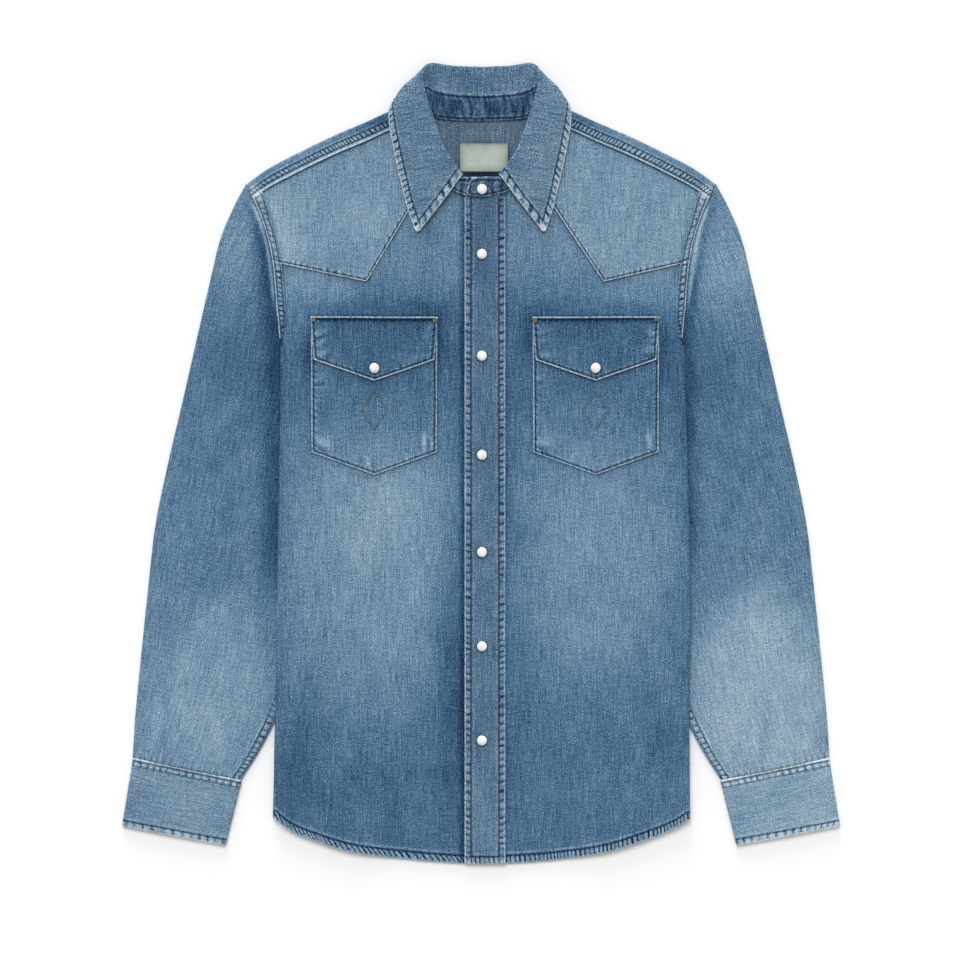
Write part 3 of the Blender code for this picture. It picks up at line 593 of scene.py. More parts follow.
def weld(patches):
    """One list of points and faces from patches whose shared edges coincide."""
    points = np.concatenate([patch.raised().reshape(-1, 3) for patch in patches])
    keys = np.round(points / 0.02).astype(np.int64)
    _, first, where = np.unique(keys, axis=0, return_index=True, return_inverse=True)
    faces, start = [], 0
    for patch in patches:
        index = np.arange(patch.tone.size).reshape(patch.tone.shape) + start
        quads = np.stack((index[:-1, :-1], index[:-1, 1:], index[1:, 1:], index[1:, :-1]), axis=-1)
        faces.append(quads.reshape(-1, 4))
        start += patch.tone.size
    faces = where.reshape(-1)[np.concatenate(faces)]
    data = {}
    for name in READ:
        data[name] = np.concatenate([getattr(patch, name).ravel() for patch in patches])[first]
    data["tone"] = data["tone"] / 255
    grain = np.concatenate([patch.grain.reshape(-1, 2) for patch in patches])[first]
    data["grain"] = np.pad(grain, ((0, 0), (0, 1)))
    return points[first], faces, data


def vertex_normals(points, faces):
    corners = points[faces]
    face_normal = np.cross(corners[:, 2] - corners[:, 0], corners[:, 3] - corners[:, 1])
    normal = np.zeros_like(points)
    for corner in range(4):
        np.add.at(normal, faces[:, corner], face_normal)
    return unit(normal)


def rim_edges(faces):
    """The directed edges that only one face uses."""
    pairs = np.concatenate([faces[:, [i, (i + 1) % 4]] for i in range(4)])
    pairs = pairs[pairs[:, 0] != pairs[:, 1]]
    keys = np.sort(pairs, axis=1)
    _, where, count = np.unique(keys, axis=0, return_inverse=True, return_counts=True)
    return pairs[count[where.reshape(-1)] == 1]


def clean(faces):
    """Faces without repeated corners."""
    made = [list(dict.fromkeys(face)) for face in faces.tolist()]
    return [face for face in made if len(face) > 2]


def put_attribute(mesh, name, values):
    kind, field = ("FLOAT", "value") if values.ndim == 1 else ("FLOAT_VECTOR", "vector")
    attribute = mesh.attributes.new(name, kind, "POINT")
    attribute.data.foreach_set(field, values.astype(np.float32).ravel())


def add_mesh(name, points, faces, *materials):
    mesh = bpy.data.meshes.new(name)
    mesh.from_pydata((np.asarray(points) * MM).tolist(), [], faces)
    mesh.shade_smooth()
    for material in materials:
        mesh.materials.append(material)
    made = bpy.data.objects.new(name, mesh)
    bpy.context.scene.collection.objects.link(made)
    return made


def wear(made, slot=None):
    """Puts a finished piece on the frame. One with a slot replaces the node of its own name."""
    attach(made, "root")
    if slot:
        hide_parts(made.name)


# How much of the wrong side shows on a shell's upper face, its lower face and its rim
RIGHT_SIDE_UP, WRONG_SIDE_UP = (0.0, 1.0, 0.3), (1.0, 0.0, 0.7)


def shell(name, patches, thick, cloth, slot, inside=RIGHT_SIDE_UP, bulge=0.4):
    """A closed thin shell from patches, rounded at its rims, put on the frame."""
    points, faces, data = weld(patches)
    normal = vertex_normals(points, faces)
    if normal[:, 2].mean() < 0:
        faces, normal = faces[:, ::-1], -normal
    count, rim = len(points), rim_edges(faces)
    outward = np.zeros_like(points)
    for end in (0, 1):
        side = np.cross(unit(points[rim[:, 1]] - points[rim[:, 0]]), normal[rim[:, 0]])
        np.add.at(outward, rim[:, end], side)
    rim_points = np.unique(rim)
    middle = np.full(count, -1)
    middle[rim_points] = 2 * count + np.arange(len(rim_points))
    all_points = np.concatenate((
        points + normal * thick / 2, points - normal * thick / 2,
        points[rim_points] + unit(outward[rim_points]) * thick * bulge,
    ))
    start, end = rim.T
    upper = np.stack((end, start, middle[start], middle[end]), axis=1)
    lower = np.stack((middle[end], middle[start], start + count, end + count), axis=1)
    all_faces = np.concatenate((faces, faces[:, ::-1] + count, upper, lower))
    made = add_mesh(name, all_points, clean(all_faces), cloth)
    for key, value in data.items():
        put_attribute(made.data, key, np.concatenate((value, value, value[rim_points])))
    shares = np.repeat(np.broadcast_to(inside, 3), (count, count, len(rim_points)))
    put_attribute(made.data, "inside", shares)
    wear(made, slot)


# ---- stitching

# A stitch's rings: how far along it, how high and how wide they are
STITCH = ((-0.5, -0.9, 0.5), (-0.32, 0.0, 1.0), (0, 0.25, 1.1), (0.32, 0, 1.0), (0.5, -0.9, 0.5))
STITCH_SIDES = 5
STITCH_POINTS = len(STITCH) * STITCH_SIDES


class Thread:
    """Gathers the stitches of one colour into one mesh."""

    def __init__(self, colour, dark, light):
        self.name, self.material = "stitches_" + colour, thread(colour + "_thread", dark, light)
        self.points, self.faces, self.count = [], [], 0

    def sew(self, line, up, pitch=3.0, length=2.2, radius=0.36, sink=0.1):
        """Lays stitches along a line of points, on the side that up gives for each."""
        far = lengths(line)
        number = int(far[-1] / pitch)
        rng = np.random.RandomState(self.count + 7)
        starts = far[-1] / number * (np.arange(number) + 0.5) + rng.uniform(-0.15, 0.15, number)
        rings = []
        for share, arch, size in STITCH:
            at = np.clip(starts + share * length, 0, far[-1])
            normal = unit(at_lengths(at, far, up))
            ahead = at_lengths(at + 0.3, far, line) - at_lengths(at - 0.3, far, line)
            side = np.cross(unit(ahead), normal)
            centre = at_lengths(at, far, line) + normal * (radius * (0.35 + arch) - sink)
            centre[:, 2] = np.maximum(centre[:, 2], radius)  # none dips into the floor
            turn = np.arange(STITCH_SIDES)[:, None] * 2 * np.pi / STITCH_SIDES
            round_it = side[:, None] * np.cos(turn) + normal[:, None] * np.sin(turn)
            rings.append(centre[:, None] + radius * size * round_it)
        base = self.count + np.arange(number)[:, None] * STITCH_POINTS
        for low in range(0, STITCH_POINTS - STITCH_SIDES, STITCH_SIDES):
            for corner in range(STITCH_SIDES):
                here, after = low + corner, low + (corner + 1) % STITCH_SIDES
                quad = np.array((here, after, after + STITCH_SIDES, here + STITCH_SIDES))
                self.faces += (base + quad).tolist()
        turn = np.arange(STITCH_SIDES)
        for cap in (-turn % STITCH_SIDES, STITCH_POINTS - STITCH_SIDES + turn):
            self.faces += (base + cap).tolist()
        self.points.append(np.stack(rings, axis=1).reshape(-1, 3))
        self.count += number * STITCH_POINTS

    def finish(self):
        wear(add_mesh(self.name, np.concatenate(self.points), self.faces, self.material))


def line_in(patch, border, inset, thick, clear=None, ends=(0.0, 1.0)):
    """The line at a distance from a border, on the cloth's upper face, and its normals.

    clear names other borders and the distance to keep from each.
    """
    points = patch.raised()
    normal, across = grid_normals(points), patch.across(border)
    held = np.ones(across.shape, bool)
    for other, far in (clear or {}).items():
        held &= patch.across(other) >= far
    if border in ("first", "last"):
        points, normal = points.transpose(1, 0, 2), normal.transpose(1, 0, 2)
        across, held = across.T, held.T
    if border in ("high", "last"):
        points, normal, across, held = points[::-1], normal[::-1], across[::-1], held[::-1]
    line, up = [], []
    total = points.shape[1]
    for i in range(total):
        far = across[:, i]
        k = int(np.clip(np.searchsorted(far, inset), 1, len(far) - 1))
        if held[k, i] and ends[0] <= i / (total - 1) <= ends[1]:
            t = np.clip((inset - far[k - 1]) / max(far[k] - far[k - 1], 1e-9), 0, 1)
            up.append(mix(normal[k - 1, i], normal[k, i], t))
            line.append(mix(points[k - 1, i], points[k, i], t) + up[-1] * thick / 2)
    return np.array(line), np.array(up)


def sew_rows(patch, thick, rows, ends=(0.0, 1.0), **stitch):
    """Sews rows on a patch: the colour, the border, how far from it, and what to keep clear of."""
    for colour, border, inset, *clear in rows:
        colour.sew(*line_in(patch, border, inset, thick, *clear, ends=ends), **stitch)


# ---- materials


def linear(rgb):
    value = np.array(rgb, float) / 255
    return tuple(np.where(value <= 0.04045, value / 12.92, ((value + 0.055) / 1.055) ** 2.4))


class Nodes:
    """A material's nodes, made and joined in code."""

    def __init__(self, name):
        self.material = bpy.data.materials.new(name)
        self.material.use_nodes = True
        self.tree = self.material.node_tree
        self.shader = self.tree.nodes["Principled BSDF"]

    def add(self, kind, inputs, **settings):
        """A node, its settings, and its inputs: values, or the outputs of other nodes."""
        node = self.tree.nodes.new("ShaderNode" + kind)
        for key, value in settings.items():
            setattr(node, key, value)
        self.fill(node, inputs)
        return node

    def fill(self, node, inputs):
        for key, source in inputs.items():
            if isinstance(source, bpy.types.NodeSocket):
                self.tree.links.new(source, node.inputs[key])
            else:
                node.inputs[key].default_value = source

    def math(self, operation, *values):
        return self.add("Math", dict(enumerate(values)), operation=operation).outputs[0]

    def plus(self, a, b):
        return self.math("ADD", a, b)

    def times(self, a, b):
        return self.math("MULTIPLY", a, b)

    def more(self, a, strength, total):
        return self.math("MULTIPLY_ADD", a, strength, total)

    def size(self, a):
        return self.math("ABSOLUTE", a)

    def read(self, name, field="Fac"):
        return self.add("Attribute", {}, attribute_name=name).outputs[field]

    def noise(self, place, scale, detail=2.0):
        """Noise from about -0.5 to 0.5, at a scale for each axis, in waves per millimetre."""
        stretch = self.add("VectorMath", {0: place, 1: (*scale, 1.0)}, operation="MULTIPLY")
        inputs = {"Scale": 1.0, "Detail": detail, "Roughness": 0.5, "Vector": stretch.outputs[0]}
        node = self.add("TexNoise", inputs, noise_dimensions="2D")
        return self.math("SUBTRACT", node.outputs["Fac"], 0.5)

    def smooth(self, source, low, high, start, end):
        inputs = {"Value": source, "From Min": low, "From Max": high}
        inputs.update({"To Min": start, "To Max": end})
        return self.add("MapRange", inputs, interpolation_type="SMOOTHSTEP").outputs["Result"]

    def ramp(self, source, stops):
        node = self.add("ValToRGB", {"Fac": source})
        while len(node.color_ramp.elements) < len(stops):
            node.color_ramp.elements.new(0.5)
        for element, (at, colour) in zip(node.color_ramp.elements, stops):
            element.position = at
            element.color = (*linear(colour), 1)
        return node.outputs["Color"]

    def finish(self, colour, height, strength, distance, **others):
        """Joins a colour and a bump to the shader, and sets its other inputs."""
        bump = self.add("Bump", {"Strength": strength, "Distance": distance, "Height": height})
        self.fill(self.shader, {"Base Color": colour, "Normal": bump.outputs["Normal"]})
        self.fill(self.shader, {key.replace("_", " "): value for key, value in others.items()})
        return self.material


# Washed indigo, from its darkest to its palest, by display brightness
INDIGO = (
    (0.0, (5, 16, 34)), (0.13, (12, 35, 60)), (0.2, (24, 53, 82)), (0.29, (44, 80, 111)),
    (0.375, (66, 101, 131)), (0.44, (86, 118, 145)), (0.52, (110, 139, 161)),
    (0.61, (135, 161, 178)), (0.71, (163, 184, 197)), (0.84, (204, 216, 222)),
    (1.0, (237, 241, 243)),
)
# The wrong side shows more of the undyed weft
WRONG_SIDE = (
    (0.0, (16, 28, 44)), (0.25, (44, 62, 84)), (0.4, (78, 100, 123)), (0.55, (118, 138, 154)),
    (0.75, (176, 184, 188)), (1.0, (228, 230, 228)),
)
# Streaks and grain of the weave: waves per millimetre across and along the warp, detail, strength
WEAVE = (
    ((0.95, 0.05), 1.0, 0.23), ((0.33, 0.02), 1.0, 0.09), ((0.05, 0.95), 1.0, 0.13),
    ((0.95, 0.72), 1.0, 0.50), ((0.30, 0.22), 2.0, 0.12), ((0.03, 0.02), 2.0, 0.09),
)
# Uneven streaks of a seam's width, where there are any
BLOTCH = (0.22, 0.05)


def denim(name, crisp=1.0, blotch=0.0):
    """Washed denim: slubs and streaks along the warp, a fine weave, and worn seams and edges."""
    made = Nodes(name)
    more, times, smooth = made.more, made.times, made.smooth
    place, total = made.read("grain", "Vector"), made.read("tone")
    pucker, groove = made.read("pucker"), made.read("groove")
    for scale, detail, strength in WEAVE + ((BLOTCH, 2.0, blotch),):
        if strength:
            total = more(made.noise(place, scale, detail), strength * crisp, total)
    # ripples along the seams, rubbed pale
    broken = made.noise(place, (0.45, 0.45))
    rubbed = times(more(broken, 1.0, pucker), smooth(made.size(pucker), 0.0, 0.12, 0.0, 1.0))
    total = more(rubbed, 0.17, total)
    # short dark folds across them
    rung = more(broken, 1.6, made.math("SINE", times(made.read("phase"), 2 * np.pi)))
    total = more(times(smooth(rung, -0.8, 0.0, 1.0, -0.12), made.read("ladder")), -0.27, total)
    # the sunk rows of stitches, and the pale lip beside them
    sunk = smooth(made.size(groove), 0.3, 1.4, 1.0, 0.0)
    sunk = made.math("MAXIMUM", sunk, smooth(made.read("row"), 0.3, 1.4, 1.0, 0.0))
    total = more(times(sunk, more(broken, 1.2, 1.0)), -0.19, total)
    lip = smooth(made.size(made.plus(groove, -2.6)), 0.0, 1.6, 1.0, 0.0)
    total = more(times(lip, more(broken, 3.0, 0.7)), 0.08, total)
    # worn edges
    line = smooth(made.read("edge"), 0.3, 1.5, 1.0, 0.0)
    total = more(times(line, more(broken, 1.0, 1.0)), 0.17, total)
    wrong = made.ramp(made.plus(total, -0.09), WRONG_SIDE)
    inputs = {"Factor": made.read("inside"), "A": made.ramp(total, INDIGO), "B": wrong}
    blend = made.add("Mix", inputs, data_type="RGBA")
    inputs = {"Scale": 0.42, "Distortion": 1.5, "Detail": 1.0, "Vector": place}
    weave = made.add("TexWave", inputs, wave_type="BANDS", bands_direction="DIAGONAL")
    height = more(made.noise(place, (1.2, 0.3)), 1.5, weave.outputs["Fac"])
    return made.finish(
        blend.outputs["Result"], height, 0.4, 0.0004,
        Roughness=smooth(total, 0.2, 0.8, 0.82, 0.95), Specular_IOR_Level=0.12, Sheen_Weight=0.06,
        Sheen_Roughness=0.6,
    )


def spotted(name, scale, detail, stops):
    """The start of a small material: its nodes, its place, noise, and a ramp over the noise."""
    made = Nodes(name)
    place = made.add("TexCoord", {}).outputs["Object"]
    spots = made.noise(place, (scale, scale), detail)
    return made, place, spots, made.ramp(made.plus(spots, 0.5), stops)


def thread(name, dark, light):
    """Sewing thread: twisted, and rubbed pale in places."""
    made, place, _, colour = spotted(name, 420.0, 2.0, ((0.25, dark), (0.75, light)))
    twist = made.noise(place, (1800.0, 1800.0), 1.0)
    return made.finish(colour, twist, 0.4, 0.0002, Roughness=0.75, Specular_IOR_Level=0.25)


def label_cloth():
    """Bare woven tape, with a fine rib, darker at its very edge, and with painted shade towards its
    edges.
    """
    made = Nodes("label_tape")
    place, edge = made.read("grain", "Vector"), made.read("edge")
    rib, mottle = made.noise(place, (2.2, 0.25)), made.noise(place, (0.12, 0.12))
    total = made.more(rib, 0.1, made.more(mottle, 0.18, 0.5))
    total = made.plus(total, made.smooth(edge, 0.3, 1.6, -0.14, 0.0))
    # painted shade: darker towards the edges
    total = made.plus(total, made.smooth(edge, 1.0, 9.0, -0.12, 0.02))
    stops = ((0.2, (112, 118, 112)), (0.5, (165, 174, 166)), (0.8, (203, 206, 196)))
    return made.finish(made.ramp(total, stops), rib, 0.3, 0.0003, Roughness=0.7)


def pearl_cap():
    """White pearl: faintly clouded, under a clear gloss."""
    stops = ((0.2, (214, 218, 220)), (0.6, (240, 242, 243)), (0.9, (250, 251, 251)))
    made, _, cloud, colour = spotted("pearl_cap", 260.0, 3.0, stops)
    return made.finish(colour, cloud, 0.1, 0.0002, Roughness=0.22, Coat_Weight=0.5)


def rim_metal():
    stops = ((0.2, (58, 60, 64)), (0.8, (112, 114, 118)))
    made, _, spots, colour = spotted("snap_rim", 900.0, 3.0, stops)
    return made.finish(colour, spots, 0.15, 0.0001, Metallic=1.0, Roughness=0.38)


CLOTH = denim("washed_indigo_denim")
COLLAR_CLOTH = denim("washed_collar_denim", crisp=1.25)
STAND_CLOTH = denim("washed_stand_denim", crisp=1.2, blotch=0.45)
gold = Thread("gold", (112, 92, 46), (170, 148, 92))
olive = Thread("olive", (42, 40, 36), (98, 88, 66))
brown = Thread("brown", (26, 22, 24), (66, 52, 44))
pale = Thread("pale", (128, 134, 134), (186, 192, 190))
navy = Thread("navy", (12, 20, 38), (30, 44, 68))
tan = Thread("tan", (84, 78, 62), (136, 122, 94))


# ---- body


def row_shares():
    return spaced(480, 1.6, 3.2, (12, 0))


def turned(side, shares, radius, top_z, floor_gap, count):
    """Points round the fold at the side and in to the side seam, for each row."""
    shares = shares[:, None]
    out = cloth_out(side, mix(SIDE_FOOT_Y, UNDERARM_Y, shares))
    fold_y = mix(hem_y(side * out), UNDERARM_Y, shares)
    turn = np.linspace(0, np.pi, 9)[1:]
    fold_z = top_z(out, fold_y) - radius + radius * np.cos(turn)
    fold = grid(side * (out + radius * np.sin(turn)), fold_y, fold_z)
    part = np.arange(1, count + 1) / count
    x, y = mix(out, SIDE_SEAM_OUT, part), mix(fold_y, mix(*SIDE_SEAM_Y, shares), part)
    return np.hstack((fold, grid(side * x, y, over_sleeve(x, y) + floor_gap)))


def half_body(side, from_x, columns, shares, top_z):
    """The flat part of one half, from the hem to the underarm, and from there to the yoke seam."""
    shares = shares[:, None]
    x = mix(from_x, side * cloth_out(side, mix(SIDE_FOOT_Y, UNDERARM_Y, shares)), columns)
    y = mix(hem_y(x), UNDERARM_Y, shares)
    low = grid(x, y, top_z(x, y))
    y = np.linspace(UNDERARM_Y, YOKE_SEAM_Y, 30)[:, None]
    above = climb(y, UNDERARM_Y, UNDERARM_Y + ARMHOLE_RUN)
    reach = mix(fold_out(side, y), armhole_out(y) - SEAM, above)
    x = mix(from_x, side * reach, columns)
    return low, grid(x, y, top_z(x, y))


def follow_armhole(x, y, hold=1.0):
    """Bends rows of points onto the armhole at their outer end."""
    reach = np.abs(x[:, -1:])
    shift = (armhole_out(y[:, -1:]) - SEAM - reach) * hold
    return x + np.sign(x) * shift * (np.abs(x) / reach) ** 3


def both(right, left):
    """The two halves of a panel that share the middle column."""
    return np.hstack((right[:, :0:-1], left))


def top_line(side, columns):
    """The front's top edge at each column: the neckline, then the shoulder seam."""
    share = np.clip(columns / NECK_COLUMN, 0, 1)
    tip_out = armhole_out(FRONT_TIP_Y) - SEAM
    out = mix(NECK_SEAM_OUT, tip_out, (columns - NECK_COLUMN) / (1 - NECK_COLUMN))
    above = columns > NECK_COLUMN
    seam_y = shoulder_y(out) - SHOULDER_SEAM_DROP - BEHIND_BAND
    x, y = follow(NECKLINE, share), follow(NECKLINE, share, 2)
    return side * np.where(above, out, x), np.where(above, seam_y, y)


def yoke_corners(side, inset=0.0):
    """The front yoke's lower edge, from the armhole to the neck."""
    return np.array((
        (side * (armhole_out(YOKE_ARMHOLE_Y) - inset), YOKE_ARMHOLE_Y),
        (CENTRE_FRONT + side * YOKE_POINT[0], YOKE_POINT[1]), (side * YOKE_NECK[0], YOKE_NECK[1]),
    ))


def pocket_x(side):
    return CENTRE_FRONT + side * POCKET_OUT


def pointed_line(side, shape):
    """The outline of a pocket or flap: its top edge, its foot, and back."""
    top_half, foot_half, top_y, corner_y, point_y = shape
    corners = (
        (top_half, top_y), (-top_half, top_y), (-foot_half, corner_y), (0, point_y),
        (foot_half, corner_y), (top_half, top_y),
    )
    return [(pocket_x(side) + over, y) for over, y in corners]


# How far above the hem its stitches are, and the pitch and lean of the folds below them
HEM_STITCH = 7.5
HEM_THREAD = {"pitch": 2.7, "length": 2.3, "radius": 0.42}
HEM_FOLDS = {"right": (5.6, -0.8), "left": (4.3, 0.1)}
# What throws a shade on each front, painted into its colour: a line, how dark, how wide. Beside the
# placket's free edge the darker cloth is also less washed
FRONT_SHADES = {
    side: (
        (yoke_corners(side), 26, 2.0), (pointed_line(side, POCKET), 22, 2.4),
        (pointed_line(side, FLAP)[:2], 26, 2.6), placket_edge,
    )
    for side, placket_edge in (
        (-1, (((-17.5, -500), (-17.5, 400)), 46, 3.6)), (1, (((25, -400), (25, 290)), 20, 1.6)),
    )
}
# Creases of the fronts below the pockets: from and to (x, y), bow, half width, height, how much
# paler along the top and how dark the painted shade beside it. Here and on the sleeves x is how far
# out they are.
FRONT_CREASES = {
    "right": (
        (196, -300, 176, -190, 6, 9, 0.35, 4), (70, -372, 88, -300, -5, 7, 0.3, 4),
        (150, -350, 128, -268, 4, 8, 0.3, 3), (190, -20, 178, 66, -3, 6, 0.3, 5),
        (120, -120, 96, -36, 5, 10, 0.25, 3),
    ),
    "left": (
        (194, -280, 172, -150, -6, 9, 0.35, 4), (100, -368, 112, -300, 4, 8, 0.3, 3),
        (152, -340, 166, -262, -4, 7, 0.3, 4), (188, 0, 182, 80, 3, 6, 0.3, 5),
        (90, -170, 104, -60, -6, 11, 0.25, 3),
    ),
}


def make_front(name, side):
    columns, shares = spaced(190, 1.5, 2.0, (0, 8)), row_shares()
    from_x = CENTRE_FRONT + FRONT_LAP + SEAM * side
    flat, middle = half_body(side, from_x, columns, shares, front_z)
    under = turned(side, shares, FOLD_RADIUS, front_z, ON_FLOOR, 12)
    t = np.linspace(0, 1, 40)[1:, None]
    x, y = (mix(middle[-1, :, k], top, t) for k, top in enumerate(top_line(side, columns)))
    x = follow_armhole(x, y)
    lower = Patch(np.hstack((flat, under)), BODY_TONE, BODY_WASH_AND_SHADE)
    upper = Patch(np.vstack((middle, grid(x, y, front_z(x, y)))), BODY_TONE, BODY_WASH_AND_SHADE)
    pitch, slant = HEM_FOLDS[name]
    lower.seam("low", pitch, 0.35, 11, 3 + side, slant, 0.5, inset=HEM_STITCH, pale=34, rungs=1.5)
    above = lower.across("low") - HEM_STITCH
    lower.tone += 18 * bell(above - 2.7, 1.5) - 22 * bell(above, 0.9)
    for patch in (lower, upper):
        for shade in FRONT_SHADES[side]:
            shade_beside(patch, *shade)
    crease(lower, FRONT_CREASES[name], side)
    shell("front_" + name, [lower, upper], DENIM, CLOTH, "denim")
    flat = Patch(lower.points[:, :flat.shape[1]], 0)
    sew_rows(flat, DENIM, ((navy, "low", HEM_STITCH),), **HEM_THREAD)


def make_back():
    shares = row_shares()[::2]
    shares[-1] = 1.0
    columns = spaced(200, 3.0, 4.6, (0, 8))
    halves = []
    for side in SIDES.values():
        low, middle = half_body(side, 0.0, columns, shares, back_z)
        under = turned(side, shares, INNER_FOLD_RADIUS, back_z, ON_FLOOR + LAYER, 14)
        halves.append((np.hstack((low, under)), middle))
    lower, upper = (Patch(both(*pair), BACK_TONE) for pair in zip(*halves))
    lower.seam("low", 5.4, 0.25, 9, 9, 0.5, 0.5, inset=HEM_STITCH, pale=24, rungs=1.15)
    shell("back", [lower, upper], DENIM, CLOTH, "denim", WRONG_SIDE_UP)


def make_back_yoke():
    half = spaced(SHOULDER_NECK_OUT + 170, 2.2, 3.0, (0, 0))
    neck = int(np.argmin(np.abs(half - NECK_COLUMN)))
    half[neck] = NECK_COLUMN
    t = np.linspace(0, 1, 44)[:, None]
    tip_out = armhole_out(BACK_YOKE_TIP_Y) - 2 * SEAM
    out = np.where(half <= NECK_COLUMN, SHOULDER_NECK_OUT * half / NECK_COLUMN,
                   mix(SHOULDER_NECK_OUT, tip_out, (half - NECK_COLUMN) / (1 - NECK_COLUMN)))
    top = np.where(half < NECK_COLUMN, follow(BACK_NECKLINE, out),
                   shoulder_y(out) - SHOULDER_FOLD_RADIUS - DENIM / 2)
    radius, foot_y = SHOULDER_FOLD_RADIUS, YOKE_SEAM_Y + 2 * SEAM
    turn = np.linspace(0, np.pi, 9)[:, None]
    share = (out[neck:] - SHOULDER_NECK_OUT) / (tip_out - SHOULDER_NECK_OUT)
    flats, wraps = [], []
    for side in SIDES.values():
        x = side * half * (armhole_out(YOKE_SEAM_Y) - SEAM)
        x, y = mix(x, side * out, t), mix(foot_y, top, t)
        x = follow_armhole(x, y, hold=fall(t, 0.75, 0.25))
        flats.append(grid(x, y, ON_FLOOR))
        rows = grid(side * out[neck:], top[neck:] + radius * np.sin(turn),
                    ON_FLOOR + radius - radius * np.cos(turn))
        seam_out = mix(SHOULDER_NECK_OUT, armhole_out(SHOULDER_SEAM_TIP_Y) - 3 * SEAM, share)
        seam_y = shoulder_y(seam_out) - SHOULDER_SEAM_DROP + SEAM
        end = grid(side * seam_out, seam_y, ON_FLOOR + 2 * radius)
        last = mix(rows[-1], end, np.arange(1, 7)[:, None, None] / 6)
        wraps.append(np.concatenate((rows, last)))
    wraps[0] = wraps[0][:, ::-1]
    patches = [Patch(both(*flats), BACK_YOKE_TONE, BACK_YOKE_WASH_AND_SHADE)]
    patches += [Patch(wrap, BACK_YOKE_TONE - 10, TIP_WASH_AND_SHADE) for wrap in wraps]
    shell("back_yoke", patches, DENIM, CLOTH, "washed_denim", WRONG_SIDE_UP)
    sew_rows(patches[0], DENIM, ((pale, "high", 3.2),), ends=(0.32, 0.68), pitch=2.6)


# ---- what lies on the fronts


def make_front_yoke(name, side):
    tip_out = armhole_out(FRONT_YOKE_TIP_Y) - SEAM
    armhole, point, neck = yoke_corners(side, SEAM)
    first = spaced(95, 1.6, 1.8, (0, 0)) * YOKE_POINT_SHARE
    second = YOKE_POINT_SHARE + spaced(128, 1.6, 1.8, (0, 0)) * (1 - YOKE_POINT_SHARE)
    share = np.concatenate((first, second[1:]))[::-1, None]
    before = mix(armhole, point, share / YOKE_POINT_SHARE)
    after = mix(point, neck, (share - YOKE_POINT_SHARE) / (1 - YOKE_POINT_SHARE))
    low = np.where(share <= YOKE_POINT_SHARE, before, after)
    out = mix(tip_out, NECK_SEAM_OUT, share[:, 0])
    high = np.stack((side * out, shoulder_y(out) - SHOULDER_SEAM_DROP - BEHIND_BAND), axis=1)
    flat = mix(low, high, spaced(100, 1.2, 2.6, (6, 0))[:, None, None])
    y = flat[..., 1]
    x = follow_armhole(flat[..., 0], y)
    patch = Patch(grid(x, y, on_front_z(x, y)), YOKE_TONE, YOKE_WASH + TIP_WASH_AND_SHADE[:2], seed=2 + side)
    # painted shade beside the armhole band's edge, and a strong painted shadow just below the
    # shoulder band
    patch.tone -= 16 * bell(armhole_out(y) - side * x - BAND_WIDTH - 1, 2.4)
    patch.tone -= 84 * bell(shoulder_y(side * x) - SHOULDER_BAND_DROPS[1] - y - 0.3, 1.8)
    patch.seam("low", 6.5, 0.3, 6, 21 + side, 0.3, 0.3, inset=1.9, bright=24, rungs=0.85, over=7.5)
    shell("front_yoke_" + name, [patch], DENIM, CLOTH, "washed_denim")
    sew_rows(patch, DENIM, ((olive, "low", 1.7, {"last": 9.0}),))


# How narrow the armhole band's foot is, and how far it narrows over
BAND_FOOT, BAND_TAPER = 0.3, 26.0
# For each shoulder band: how far its lower row of stitches lies from its edge, how much paler
# the lip below that row is, and how much weaker the folds across the band are at the tip
SHOULDER_BAND_LOOKS = {"right": (3.7, 40, 0.45), "left": (2.6, 26, 0.05)}
# Where the yoke's foot crosses the armhole band, at the armhole, and its slope towards the front
YOKE_CROSSING_Y, YOKE_CROSSING_SLOPE = 203.0, 0.3
# From what height down the armhole band darkens
BAND_SHADE_Y = 205


def make_shoulder_band(name, side):
    drops = np.linspace(*SHOULDER_BAND_DROPS, 13)[:, None]
    ends = np.full(drops.shape, SHOULDER_BAND_OUTS[1])
    for _ in range(8):
        ends = armhole_out(shoulder_y(ends) - drops) - 2 * SEAM
    out = mix(SHOULDER_BAND_OUTS[0], ends, np.linspace(0, 1, 110))
    points = grid(side * out, shoulder_y(out) - drops, ON_FLOOR + 2 * SHOULDER_FOLD_RADIUS + LAYER)
    patch = Patch(points, BAND_TONE, TIP_WASH_AND_SHADE, seed=5 + side)
    row, lip, lost = SHOULDER_BAND_LOOKS[name]
    patch.seam("high", 5.5, 0.1, 4, 31 + side, 0.0, 0.2, inset=row)
    patch.seam("low", 5.5, 0.1, 4, 31 + side, 0.0, 0.2, inset=2.0, fold=False)
    patch.tone += lip * fall(patch.across("high"), row - 1.9, 1.2)
    across, along = edge_fields(points, "low")
    strength = 1.5 - lost * climb(out, 100, 200)
    patch.rungs(across, along + 0.65 * across, (2.0, 12.0 - row), 4.0, 33 + side, strength)
    shell("shoulder_band_" + name, [patch], BAND_THICK, CLOTH, "washed_denim")
    sew_rows(patch, BAND_THICK, ((olive, "low", 2.0), (olive, "high", row)), pitch=2.8)
    sew_rows(patch, BAND_THICK, ((gold, "last", 2.2), (gold, "last", 7.6)), pitch=2.8, radius=0.3)


